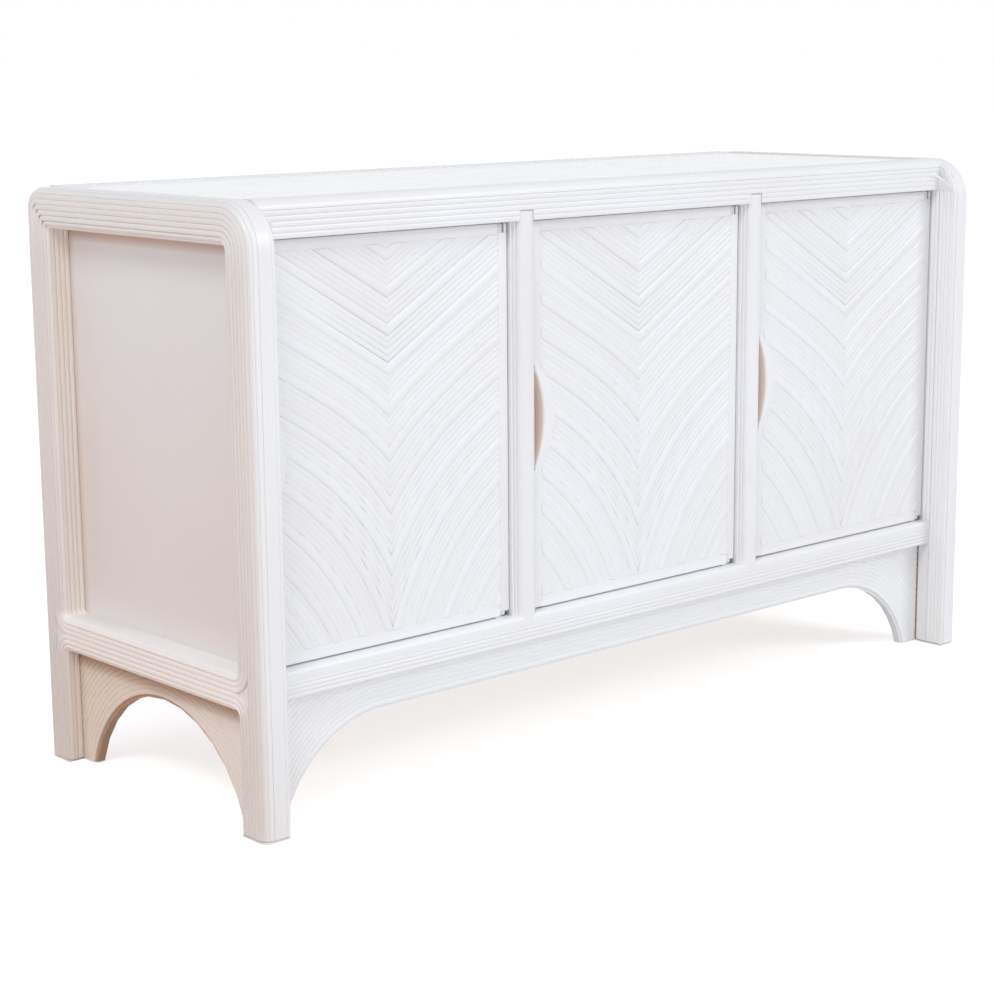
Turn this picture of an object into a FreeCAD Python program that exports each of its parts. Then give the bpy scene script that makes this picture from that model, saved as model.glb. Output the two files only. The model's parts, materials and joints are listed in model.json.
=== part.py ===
import FreeCAD, Part
import math
import os

os.makedirs("parts", exist_ok=True)
V = FreeCAD.Vector

# ---------------------------------------------------------------- driving dimensions, mm
WIDTH = 1400.0
DEPTH = 506.0
HEIGHT = 787.0

POST_WIDTH = 40.0            # along X, seen from the front
POST_DEPTH = 50.0            # along Y, seen from the end
END_CORNER_R = 15.0          # long outer corner of an end frame
FRONT_BEND_R = 60.0          # top front bend of an end frame, seen from the end
REAR_BEND_R = 30.0           # top rear bend
FOOT_PAD = 4.0

REED_THICK = 3.5
REED_PITCH = 7.0
REED_GAP = 0.25              # hairline between neighbouring reeds

RAIL_SET_BACK = 31.0         # front rails behind the post fronts
DOOR_SET_BACK = 15.0         # door reeds behind the front rails
APRON_SET_BACK = 22.0        # front apron reeds behind the front rails
RAIL_DEPTH = 57.0
TOP_RAIL_HEIGHT = 48.0
TOP_EDGE_R = 13.0
TOP_PANEL_FRONT = 32.0       # smooth top starts this far behind the rail front
TOP_PANEL_THICK = 16.0
TOP_PANEL_DROP = 2.0

MULLION_WIDTH = 42.0
MULLION_CENTRE_HALF = 9.5
BOTTOM_RAIL_TOP = 205.0
LEDGE_BOTTOM = 190.0
BOTTOM_RAIL_UNDERSIDE = 168.0

END_RAIL_UNDERSIDE = 163.0
END_PANEL_RECESS = 36.0
END_PANEL_THICK = 4.0
INNER_REED_THICK = 2.5       # reeds on the faces that look into an end frame's openings
END_APRON_RECESS = 23.0
APRON_THICK = 12.0
END_ARCH_R = 181.0
END_ARCH_APEX = 128.5
FRONT_ARCH_R = 165.6
FRONT_ARCH_EDGE = 118.5      # straight lower edge of the front apron
FRONT_ARCH_INSET = 232.0     # arch centre from the cabinet's end
APRON_FOOT = 2.0
ARCH_EDGE = 4.0              # plain edge below the first apron reed

BOARD_THICK = 18.0
PARTITION_THICK = 16.0
BACK_INSET = 3.0             # back of the carcass from the end frames' rear
BACK_THICK = 6.0
BACK_RECESS = 9.0
REAR_RAIL_DEPTH = 35.0
SHELF_TOP = 576.0
SHELF_THICK = 16.0
SHELF_FRONT_GAP = 15.0
CLEAT = 12.0

DOOR_SIDE_GAP = 2.5
DOOR_BOTTOM_GAP = 2.5
DOOR_TOP_GAP = 2.2
DOOR_THICK = 19.5
BORDER_SIDE = 15.0
BORDER_TOP = 14.8
BORDER_BOTTOM = 15.5
SCOOP_RISE = 264.5           # middle of the finger scoop above the door's foot
SCOOP_HALF = 65.0
SCOOP_DEPTH = 17.0
LIP_HALF = 79.0
LIP_REACH = 39.0
LIP_PROUD = 5.0

PIVOT_INSET = 10.0           # hinge pin from the door's edge
PIVOT_DEPTH = 5.5            # hinge pin behind the reeds
PIN_R = 2.0
PIN_CLEAR = 0.05
KNUCKLE_R = 5.0
NOTCH_WIDTH = 20.0
NOTCH_HEIGHT = 12.0          # at the top hinge
LOW_NOTCH_HEIGHT = 6.0       # the lower hinge is half as tall
NOTCH_DEPTH = 17.0
HINGE_PLATE = 1.5
LEAF = 2.0
STRIKE = 1.0
CATCH_GAP = 0.2

# ---------------------------------------------------------------- derived values
HALF_W = WIDTH / 2
HALF_D = DEPTH / 2
BACK_FACE = HALF_D - BACK_INSET
INNER_X = HALF_W - POST_WIDTH
BAY = (2 * INNER_X - 2 * MULLION_WIDTH) / 3
TOP_RAIL_UNDERSIDE = HEIGHT - TOP_RAIL_HEIGHT
RAIL_FRONT = -HALF_D + RAIL_SET_BACK
RAIL_CORE_FRONT = RAIL_FRONT + REED_THICK
RAIL_BACK = RAIL_CORE_FRONT + RAIL_DEPTH - REED_THICK
DOOR_FRONT = RAIL_FRONT + DOOR_SET_BACK
SLAB_FRONT = DOOR_FRONT + REED_THICK
SLAB_BACK = SLAB_FRONT + DOOR_THICK
DOOR_BOTTOM = BOTTOM_RAIL_TOP + DOOR_BOTTOM_GAP
DOOR_TOP = TOP_RAIL_UNDERSIDE - DOOR_TOP_GAP
SCOOP_CENTRE_Z = DOOR_BOTTOM + SCOOP_RISE
DOOR_HALF = BAY / 2 - DOOR_SIDE_GAP
BAYS = (("left", -(BAY + MULLION_WIDTH)), ("middle", 0.0), ("right", BAY + MULLION_WIDTH))
SIDES = (("left", -1), ("right", 1))
END_INNER_Y = HALF_D - POST_DEPTH
TOP_CORE = HEIGHT - REED_THICK
PANEL_TOP = HEIGHT - TOP_PANEL_DROP
PANEL_UNDERSIDE = PANEL_TOP - TOP_PANEL_THICK
REAR_RAIL_FRONT = BACK_FACE - REAR_RAIL_DEPTH


# ---------------------------------------------------------------- helpers
def save(name, shapes):
    """Write one node; a list of solids becomes one group."""
    if isinstance(shapes, list):
        shape = shapes[0] if len(shapes) == 1 else Part.makeCompound(shapes)
    else:
        shape = shapes
    shape.exportStep("parts/" + name + ".step")


def box(x0, x1, y0, y1, z0, z1):
    return Part.makeBox(x1 - x0, y1 - y0, z1 - z0, V(x0, y0, z0))


def same(a, b):
    return a.sub(b).Length < 1e-6


def planar_faces(points):
    """One face for a flat ring of points, triangles for a warped one."""
    ring = []
    for point in points:
        if not ring or not same(point, ring[-1]):
            ring.append(point)
    if len(ring) > 1 and same(ring[0], ring[-1]):
        ring.pop()
    if len(ring) < 3:
        return []
    if len(ring) > 3:
        normal = V(0, 0, 0)
        for i, point in enumerate(ring):
            normal = normal.add(point.sub(ring[0]).cross(ring[(i + 1) % len(ring)].sub(ring[0])))
        if normal.Length < 1e-9:
            return []
        normal.normalize()
        off = max(abs(point.sub(ring[0]).dot(normal)) for point in ring)
        if off > 1e-7:
            return planar_faces(ring[:3]) + planar_faces([ring[0]] + ring[2:])
    elif ring[1].sub(ring[0]).cross(ring[2].sub(ring[0])).Length < 1e-7:
        return []
    return [Part.Face(Part.makePolygon(ring + [ring[0]]))]


def sweep(sections, closed=False):
    """Solid through a list of matching rings of points."""
    faces = []
    count = len(sections[0])
    spans = len(sections) if closed else len(sections) - 1
    for i in range(spans):
        one = sections[i]
        two = sections[(i + 1) % len(sections)]
        for k in range(count):
            n = (k + 1) % count
            faces += planar_faces([one[k], one[n], two[n], two[k]])
    if not closed:
        faces += planar_faces(sections[0])
        faces += planar_faces(sections[-1])
    solid = Part.Solid(Part.Shell(faces))
    if solid.Volume < 0:
        solid.reverse()
    return solid


def extrude_x(ring, x0, x1):
    """ring of (y, z) points pulled along X."""
    return sweep([[V(x, y, z) for y, z in ring] for x in (x0, x1)])


def extrude_y(ring, y0, y1):
    return sweep([[V(x, y, z) for x, z in ring] for y in (y0, y1)])


def extrude_z(ring, z0, z1):
    return sweep([[V(x, y, z) for x, y in ring] for z in (z0, z1)])


def reed_ring(a0, a1, base, top):
    """Reed section between a0 and a1, standing from base to top."""
    step = (a1 - a0) * 0.24
    return [(a0, base), (a0 + step, top), (a1 - step, top), (a1, base)]


def ridge_ring(a0, a1, base, top):
    """Plainer section for the narrow reeds."""
    return [(a0, base), ((a0 + a1) / 2, top), (a1, base)]


def corner_rings(ca, cb, radius, first, last, count):
    """Reed sections laid round a corner of the given outer radius."""
    rings = []
    inner = radius - REED_THICK
    turn = math.radians(last - first) / count
    for i in range(count):
        low = math.radians(first) + i * turn
        foot = [(ca + inner * math.cos(a), cb + inner * math.sin(a)) for a in (low, low + turn)]
        head = [(ca + radius * math.cos(low + turn * f), cb + radius * math.sin(low + turn * f))
                for f in (0.26, 0.74)]
        rings.append([foot[0], head[0], head[1], foot[1]])
    return rings


# ---------------------------------------------------------------- end frames
def bend(cy, cz, radius, start, end, steps):
    """Stations of a bend, as (centre, angle) pairs."""
    return [("arc", cy, cz, radius, math.radians(start + (end - start) * i / steps))
            for i in range(steps + 1)]


FRONT_BEND = bend(-HALF_D + FRONT_BEND_R, HEIGHT - FRONT_BEND_R, FRONT_BEND_R, 180, 90, 4)
REAR_BEND = bend(HALF_D - REAR_BEND_R, HEIGHT - REAR_BEND_R, REAR_BEND_R, 90, 0, 2)
FRONT_FOOT = ("front", FOOT_PAD)
REAR_FOOT = ("rear", FOOT_PAD)
HOOP = [FRONT_FOOT] + FRONT_BEND + REAR_BEND + [REAR_FOOT]


def place(station, depth):
    """Side-view point at the given depth below the frame's outer surface."""
    if station[0] == "front":
        return -HALF_D + depth, station[1]
    if station[0] == "rear":
        return HALF_D - depth, station[1]
    kind, cy, cz, radius, angle = station
    reach = radius - depth
    if reach > 0:
        return cy + reach * math.cos(angle), cz + reach * math.sin(angle)
    mid = math.radians(135) if cy < 0 else math.radians(45)
    return cy + reach * math.copysign(1, math.cos(mid)), cz + reach


def hoop_piece(side, ring, stations, closed=False):
    """ring of (t, depth): t inward from the end face, depth inward from the outer surface."""
    sections = []
    for station in stations:
        section = []
        for t, depth in ring:
            y, z = place(station, depth)
            section.append(V(side * (HALF_W - t), y, z))
        sections.append(section)
    return sweep(sections, closed)


CORE_CORNER = []
for step in range(4):
    angle = math.radians(180 + 30 * step)
    CORE_CORNER.append((END_CORNER_R + (END_CORNER_R - REED_THICK) * math.cos(angle),
                        END_CORNER_R + (END_CORNER_R - REED_THICK) * math.sin(angle)))
STEP_T = POST_WIDTH - REED_THICK
FRONT_POST_RING = CORE_CORNER + [(STEP_T, REED_THICK), (STEP_T, RAIL_SET_BACK),
                                 (POST_WIDTH, RAIL_SET_BACK), (POST_WIDTH, POST_DEPTH),
                                 (REED_THICK, POST_DEPTH)]
PLAIN_RING = CORE_CORNER + [(POST_WIDTH, REED_THICK), (POST_WIDTH, POST_DEPTH),
                            (REED_THICK, POST_DEPTH)]

LOOP_OUTER = POST_DEPTH - 3 * REED_PITCH
LOOP_CENTRE_Z = BOTTOM_RAIL_TOP + FRONT_BEND_R - POST_DEPTH
LEG_CENTRE_Z = END_RAIL_UNDERSIDE - FRONT_BEND_R + POST_DEPTH


def end_reeds(side):
    reeds = []
    # reeds on the end face that run from foot to foot over the top
    depth = END_CORNER_R
    while depth < LOOP_OUTER - 1:
        ring = [(t, d) for d, t in reed_ring(depth, depth + REED_PITCH - REED_GAP, REED_THICK, 0)]
        reeds.append(hoop_piece(side, ring, HOOP))
        depth += REED_PITCH
    # round the long corner
    for ring in corner_rings(END_CORNER_R, END_CORNER_R, END_CORNER_R, 180, 270, 3):
        reeds.append(hoop_piece(side, ring, HOOP))
    # across the front and the top
    pitch = (POST_WIDTH - END_CORNER_R) / 4
    for i in range(4):
        t0 = END_CORNER_R + i * pitch
        reeds.append(hoop_piece(side, reed_ring(t0, t0 + pitch - REED_GAP, REED_THICK, 0), HOOP))
    # inner face of the front post, stepping back to the rails
    pitch = (RAIL_SET_BACK - REED_THICK) / 4
    for i in range(4):
        d0 = REED_THICK + i * pitch
        ring = [(t, d) for d, t in reed_ring(d0, d0 + pitch - REED_GAP, STEP_T, POST_WIDTH)]
        reeds.append(hoop_piece(side, ring, [FRONT_FOOT] + FRONT_BEND[:3]))
    # closed loops round the end panel, and the ones that turn down over the arch
    low_rear = bend(HALF_D - FRONT_BEND_R, LOOP_CENTRE_Z, FRONT_BEND_R, 0, -90, 2)
    low_front = bend(-HALF_D + FRONT_BEND_R, LOOP_CENTRE_Z, FRONT_BEND_R, 270, 180, 2)
    loop = FRONT_BEND[::2] + REAR_BEND + low_rear + low_front
    front = bend(-HALF_D + FRONT_BEND_R, LEG_CENTRE_Z, FRONT_BEND_R, 180, 90, 2)
    rear = bend(HALF_D - FRONT_BEND_R, LEG_CENTRE_Z, FRONT_BEND_R, 90, 0, 2)
    leg = [FRONT_FOOT] + front + rear + [REAR_FOOT]
    for i in range(2):
        d0 = LOOP_OUTER + i * REED_PITCH
        ring = [(t, d) for d, t in reed_ring(d0 + REED_GAP, d0 + REED_PITCH, REED_THICK, 0)]
        reeds.append(hoop_piece(side, ring, loop, True))
        reeds.append(hoop_piece(side, ring, leg))
    # the reed on the corner of the opening, half on the end face and half inside
    edge = POST_DEPTH - REED_PITCH + REED_GAP
    inside = POST_DEPTH + INNER_REED_THICK
    ring = [(REED_THICK, edge), (0.6, edge + 1.6), (1.2, POST_DEPTH - 1.2), (3.2, inside - 0.7),
            (REED_PITCH - REED_GAP, inside), (REED_PITCH - REED_GAP, POST_DEPTH),
            (REED_THICK, POST_DEPTH)]
    reeds.append(hoop_piece(side, ring, loop, True))
    reeds.append(hoop_piece(side, ring, leg))
    # reeds inside the openings, back to the panel and to the apron
    for path, last, closed in ((loop, END_PANEL_RECESS, True), (leg, END_APRON_RECESS, False)):
        count = int((last - REED_PITCH) / REED_PITCH)
        pitch = (last - REED_PITCH) / count
        for i in range(count):
            t0 = REED_PITCH + i * pitch
            ring = ridge_ring(t0, t0 + pitch - REED_GAP, POST_DEPTH, inside)
            reeds.append(hoop_piece(side, ring, path, closed))
    return reeds


def arch_reeds(radii, centre, limit_side, limit_top, foot):
    """Concentric reeds as (inner, outer, stations); angles measured from straight up."""
    found = []
    for r0, r1 in radii:
        low = math.acos(min(1.0, max(-1.0, (foot - centre) / r0)))
        side = math.asin(min(1.0, limit_side / r1))
        last = min(low, side)
        first = 0.0
        if r1 > limit_top - centre:
            first = math.acos((limit_top - centre) / r1)
        if last - first < 0.035:
            continue
        found.append((r0, r1, first, last))
    return found


def end_apron(side):
    centre = END_ARCH_APEX - END_ARCH_R
    out = HALF_W - END_APRON_RECESS - REED_THICK
    steps = 12
    half = math.acos((APRON_FOOT - centre) / END_ARCH_R)
    ring = []
    for i in range(steps + 1):
        a = -half + 2 * half * i / steps
        ring.append((END_ARCH_R * math.sin(a), centre + END_ARCH_R * math.cos(a)))
    ring += [(END_INNER_Y, APRON_FOOT), (END_INNER_Y, END_RAIL_UNDERSIDE),
             (-END_INNER_Y, END_RAIL_UNDERSIDE), (-END_INNER_Y, APRON_FOOT)]
    board = sweep([[V(side * x, y, z) for y, z in ring] for x in (out - APRON_THICK, out)])
    reeds = []
    radii = []
    r0 = END_ARCH_R + ARCH_EDGE
    while r0 < END_ARCH_R + 110:
        radii.append((r0, r0 + REED_PITCH - REED_GAP))
        r0 += REED_PITCH
    for r0, r1, first, last in arch_reeds(radii, centre, END_INNER_Y, END_RAIL_UNDERSIDE,
                                          APRON_FOOT):
        if first == 0.0:
            spans = [(-last, last, 8)]
        else:
            spans = [(first, last, 2), (-last, -first, 2)]
        for a0, a1, count in spans:
            sections = []
            for i in range(count + 1):
                a = a0 + (a1 - a0) * i / count
                section = []
                for r, h in reed_ring(r0, r1, 0.0, REED_THICK):
                    section.append(V(side * (out + h), r * math.sin(a), centre + r * math.cos(a)))
                sections.append(section)
            reeds.append(sweep(sections))
    return board, reeds


# ---------------------------------------------------------------- front rails and apron
def front_top_rail():
    panel_start = RAIL_FRONT + TOP_PANEL_FRONT
    cy = RAIL_FRONT + TOP_EDGE_R
    cz = HEIGHT - TOP_EDGE_R
    inner = TOP_EDGE_R - REED_THICK
    ring = [(RAIL_CORE_FRONT, TOP_RAIL_UNDERSIDE)]
    for i in range(4):
        a = math.radians(180 - 30 * i)
        ring.append((cy + inner * math.cos(a), cz + inner * math.sin(a)))
    ring += [(panel_start, TOP_CORE), (panel_start, PANEL_UNDERSIDE),
             (RAIL_BACK, PANEL_UNDERSIDE), (RAIL_BACK, TOP_RAIL_UNDERSIDE)]
    core = extrude_x(ring, -INNER_X, INNER_X)
    reeds = []
    pitch = (cz - TOP_RAIL_UNDERSIDE) / 5
    for i in range(5):
        z0 = TOP_RAIL_UNDERSIDE + i * pitch
        face = [(y, z) for z, y in reed_ring(z0, z0 + pitch - REED_GAP, RAIL_CORE_FRONT, RAIL_FRONT)]
        reeds.append(extrude_x(face, -INNER_X, INNER_X))
    face = [(cy - inner, cz)]
    for i in range(5):
        a = math.radians(176 - 20.5 * i)
        face.append((cy + TOP_EDGE_R * math.cos(a), cz + TOP_EDGE_R * math.sin(a)))
    face += [(cy, cz + inner)]
    for i in (2, 1):
        a = math.radians(180 - 30 * i)
        face.append((cy + inner * math.cos(a), cz + inner * math.sin(a)))
    reeds.append(extrude_x(face, -INNER_X, INNER_X))
    pitch = (panel_start - cy) / 3
    for i in range(3):
        y0 = cy + i * pitch
        face = reed_ring(y0, y0 + pitch - REED_GAP, TOP_CORE, HEIGHT)
        reeds.append(extrude_x(face, -INNER_X, INNER_X))
    return core, reeds


def front_bottom_rail():
    ring = [(RAIL_BACK, BOTTOM_RAIL_UNDERSIDE), (RAIL_BACK, BOTTOM_RAIL_TOP),
            (RAIL_FRONT + 11, BOTTOM_RAIL_TOP), (RAIL_FRONT + 4, BOTTOM_RAIL_TOP - 3),
            (RAIL_FRONT, BOTTOM_RAIL_TOP - 9), (RAIL_FRONT, LEDGE_BOTTOM + 1.5),
            (RAIL_CORE_FRONT, LEDGE_BOTTOM), (RAIL_CORE_FRONT, BOTTOM_RAIL_UNDERSIDE)]
    core = extrude_x(ring, -INNER_X, INNER_X)
    reeds = []
    pitch = (LEDGE_BOTTOM - BOTTOM_RAIL_UNDERSIDE) / 4
    for i in range(4):
        z0 = BOTTOM_RAIL_UNDERSIDE + i * pitch
        face = [(y, z) for z, y in reed_ring(z0, z0 + pitch - REED_GAP, RAIL_CORE_FRONT, RAIL_FRONT)]
        reeds.append(extrude_x(face, -INNER_X, INNER_X))
    return core, reeds


def front_apron():
    front = RAIL_FRONT + APRON_SET_BACK + REED_THICK
    centre_z = FRONT_ARCH_EDGE - FRONT_ARCH_R
    centre_x = HALF_W - FRONT_ARCH_INSET
    top = BOTTOM_RAIL_UNDERSIDE
    last = math.acos((APRON_FOOT - centre_z) / FRONT_ARCH_R)
    ring = []
    for i in range(9):
        a = last * (8 - i) / 8
        ring.append((-centre_x - FRONT_ARCH_R * math.sin(a), centre_z + FRONT_ARCH_R * math.cos(a)))
    for i in range(9):
        a = last * i / 8
        ring.append((centre_x + FRONT_ARCH_R * math.sin(a), centre_z + FRONT_ARCH_R * math.cos(a)))
    ring += [(INNER_X, APRON_FOOT), (INNER_X, top), (-INNER_X, top), (-INNER_X, APRON_FOOT)]
    board = extrude_y(ring, front, front + APRON_THICK)
    reeds = []
    radii = []
    r0 = FRONT_ARCH_R + ARCH_EDGE
    while r0 < FRONT_ARCH_R + 125:
        radii.append((r0, r0 + REED_PITCH - 0.5 - REED_GAP))
        r0 += REED_PITCH - 0.5
    for r0, r1, first, last in arch_reeds(radii, centre_z, INNER_X - centre_x, top,
                                          APRON_FOOT):
        count = 4 if first == 0.0 else 2
        halves = []
        for sign in (-1, 1):
            sections = []
            for i in range(count + 1):
                a = first + (last - first) * i / count
                section = []
                for r, h in reed_ring(r0, r1, 0.0, -REED_THICK):
                    section.append(V(sign * (centre_x + r * math.sin(a)), front + h,
                                     centre_z + r * math.cos(a)))
                sections.append(section)
            halves.append(sections)
        if first == 0.0:
            reeds.append(sweep(halves[0][::-1] + halves[1]))
        else:
            reeds.append(sweep(halves[0]))
            reeds.append(sweep(halves[1]))
    return board, reeds


def mullion(cx):
    half = MULLION_WIDTH / 2
    base = DOOR_FRONT - 3.0
    core = box(cx - half, cx + half, base, RAIL_BACK, BOTTOM_RAIL_TOP, TOP_RAIL_UNDERSIDE)
    middle = (MULLION_CENTRE_HALF + half) / 2
    c = MULLION_CENTRE_HALF - REED_GAP / 2
    ring = [(cx - c, base), (cx - c, RAIL_FRONT + 6), (cx - c * 0.75, RAIL_FRONT + 2.2),
            (cx - c * 0.35, RAIL_FRONT), (cx + c * 0.35, RAIL_FRONT), (cx + c * 0.75, RAIL_FRONT + 2.2),
            (cx + c, RAIL_FRONT + 6), (cx + c, base)]
    reeds = [extrude_z(ring, BOTTOM_RAIL_TOP, TOP_RAIL_UNDERSIDE)]
    for sign in (-1, 1):
        for a0, a1, top in ((MULLION_CENTRE_HALF, middle, RAIL_FRONT + 4.0),
                            (middle, half, RAIL_FRONT + 7.5)):
            face = [(cx + sign * a, y) for a, y in reed_ring(a0, a1 - REED_GAP, base, top)]
            reeds.append(extrude_z(face, BOTTOM_RAIL_TOP, TOP_RAIL_UNDERSIDE))
    return core, reeds


# ---------------------------------------------------------------- doors
FIELD_X = DOOR_HALF - BORDER_SIDE
FIELD_LOW = DOOR_BOTTOM + BORDER_BOTTOM
FIELD_TOP = DOOR_TOP - BORDER_TOP
REED_SLOPE = 0.577           # rise per mm outward where the reeds run straight
SLOPE_START = 728.0          # below this height the reeds bend ever steeper
SLOPE_GAIN = 1.4e-6
SLOPE_MOST = 3.0
RIB_PERIOD = 40.0            # one broad reed and four narrow ones, across the reeds
RIB_SHARES = (2, 1, 1, 1, 1)
RIB_HEIGHT = 5.0
DOOR_REED_THICK = 3.0
RIB_EDGE = 481.0             # lower edge of one broad reed at the field's side


def slope(x, z):
    below = max(0.0, SLOPE_START - z - 0.926 * x)
    return min(SLOPE_MOST, REED_SLOPE + SLOPE_GAIN * below ** 2.281)


def rib_steps():
    """Reed edges at the field's side, lowest first, as (lower, upper, broad)."""
    unit = RIB_PERIOD / sum(RIB_SHARES)
    edge = RIB_EDGE
    while edge > FIELD_LOW - 2.0:
        edge -= RIB_PERIOD * math.sqrt(1 + slope(FIELD_X, edge - RIB_PERIOD / 2) ** 2)
    found = []
    while edge < FIELD_TOP + REED_SLOPE * FIELD_X:
        for share in RIB_SHARES:
            low = edge
            edge += unit * share * math.sqrt(1 + slope(FIELD_X, edge) ** 2)
            found.append((low, edge, share > 1))
    return found


def reed_line(edge_z):
    """Heights of one reed edge, walked inward from the field's side; x falls from FIELD_X to 0."""
    points = [(FIELD_X, edge_z)]
    steps = 47
    dx = FIELD_X / steps
    x, z = FIELD_X, edge_z
    for i in range(steps):
        grade = slope(x - dx / 2, z - slope(x, z) * dx / 2)
        x -= dx
        z -= grade * dx
        points.append((x, z))
    return points


def line_at(points, x):
    for (xa, za), (xb, zb) in zip(points, points[1:]):
        if xb <= x <= xa:
            f = (xa - x) / (xa - xb)
            return za + (zb - za) * f
    return points[-1][1]


def x_at(points, z):
    for (xa, za), (xb, zb) in zip(points, points[1:]):
        if zb <= z <= za:
            f = (za - z) / (za - zb)
            return xa + (xb - xa) * f
    return 0.0


def chevron_half():
    """Reeds of the right half of a door, round the local centre line."""
    field = box(0.0, FIELD_X, SLAB_FRONT - 20, SLAB_FRONT + 5, FIELD_LOW, FIELD_TOP)
    reeds = []
    for low_edge, high_edge, broad in rib_steps():
        previous = reed_line(low_edge)
        line = reed_line(high_edge)
        if previous[-1][1] > FIELD_TOP or line[0][1] < FIELD_LOW:
            continue
        # where this reed's middle leaves the field towards the centre
        low_x = x_at(line, FIELD_LOW - 6)
        high_x = FIELD_X
        if previous[0][1] > FIELD_TOP:
            high_x = min(FIELD_X, x_at(previous, FIELD_TOP) + 4)
        bent = line[0][1] - line[-1][1] > REED_SLOPE * FIELD_X * 1.25
        count = 2 if bent and high_x - low_x > 40 else 1
        xs = [low_x + (high_x - low_x) * i / count for i in range(count + 1)]
        if count == 2:
            xs[1] = low_x + (high_x - low_x) * 0.36
        if high_x - low_x > 3:
            sections = []
            for x in xs:
                lo = line_at(previous, x)
                hi = line_at(line, x) - REED_GAP * 1.2
                if broad:
                    ring = [(lo + (hi - lo) * f, -RIB_HEIGHT * h) for f, h in
                            ((0, 0), (0.16, 0.74), (0.5, 1), (0.84, 0.74), (1, 0))]
                else:
                    ring = ridge_ring(lo, hi, 0.0, -DOOR_REED_THICK)
                sections.append([V(x, SLAB_FRONT + h, z) for z, h in ring])
            reed = sweep(sections)
            low = min(p.z for s in sections for p in s)
            high = max(p.z for s in sections for p in s)
            if low < FIELD_LOW or high > FIELD_TOP:
                reed = reed.common(field)
            reeds += [s for s in reed.Solids if s.Volume > 8.0]
    return reeds


def arc_through(half, depth, count, x_edge, cz):
    """Points of a shallow arc cut into the door's left edge."""
    radius = (half * half + depth * depth) / (2 * depth)
    cx = x_edge + depth - radius
    top = math.asin(half / radius)
    if depth > radius:
        top = math.pi - top
    return [(cx + radius * math.cos(-top + 2 * top * i / count),
             cz + radius * math.sin(-top + 2 * top * i / count)) for i in range(count + 1)]


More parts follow.
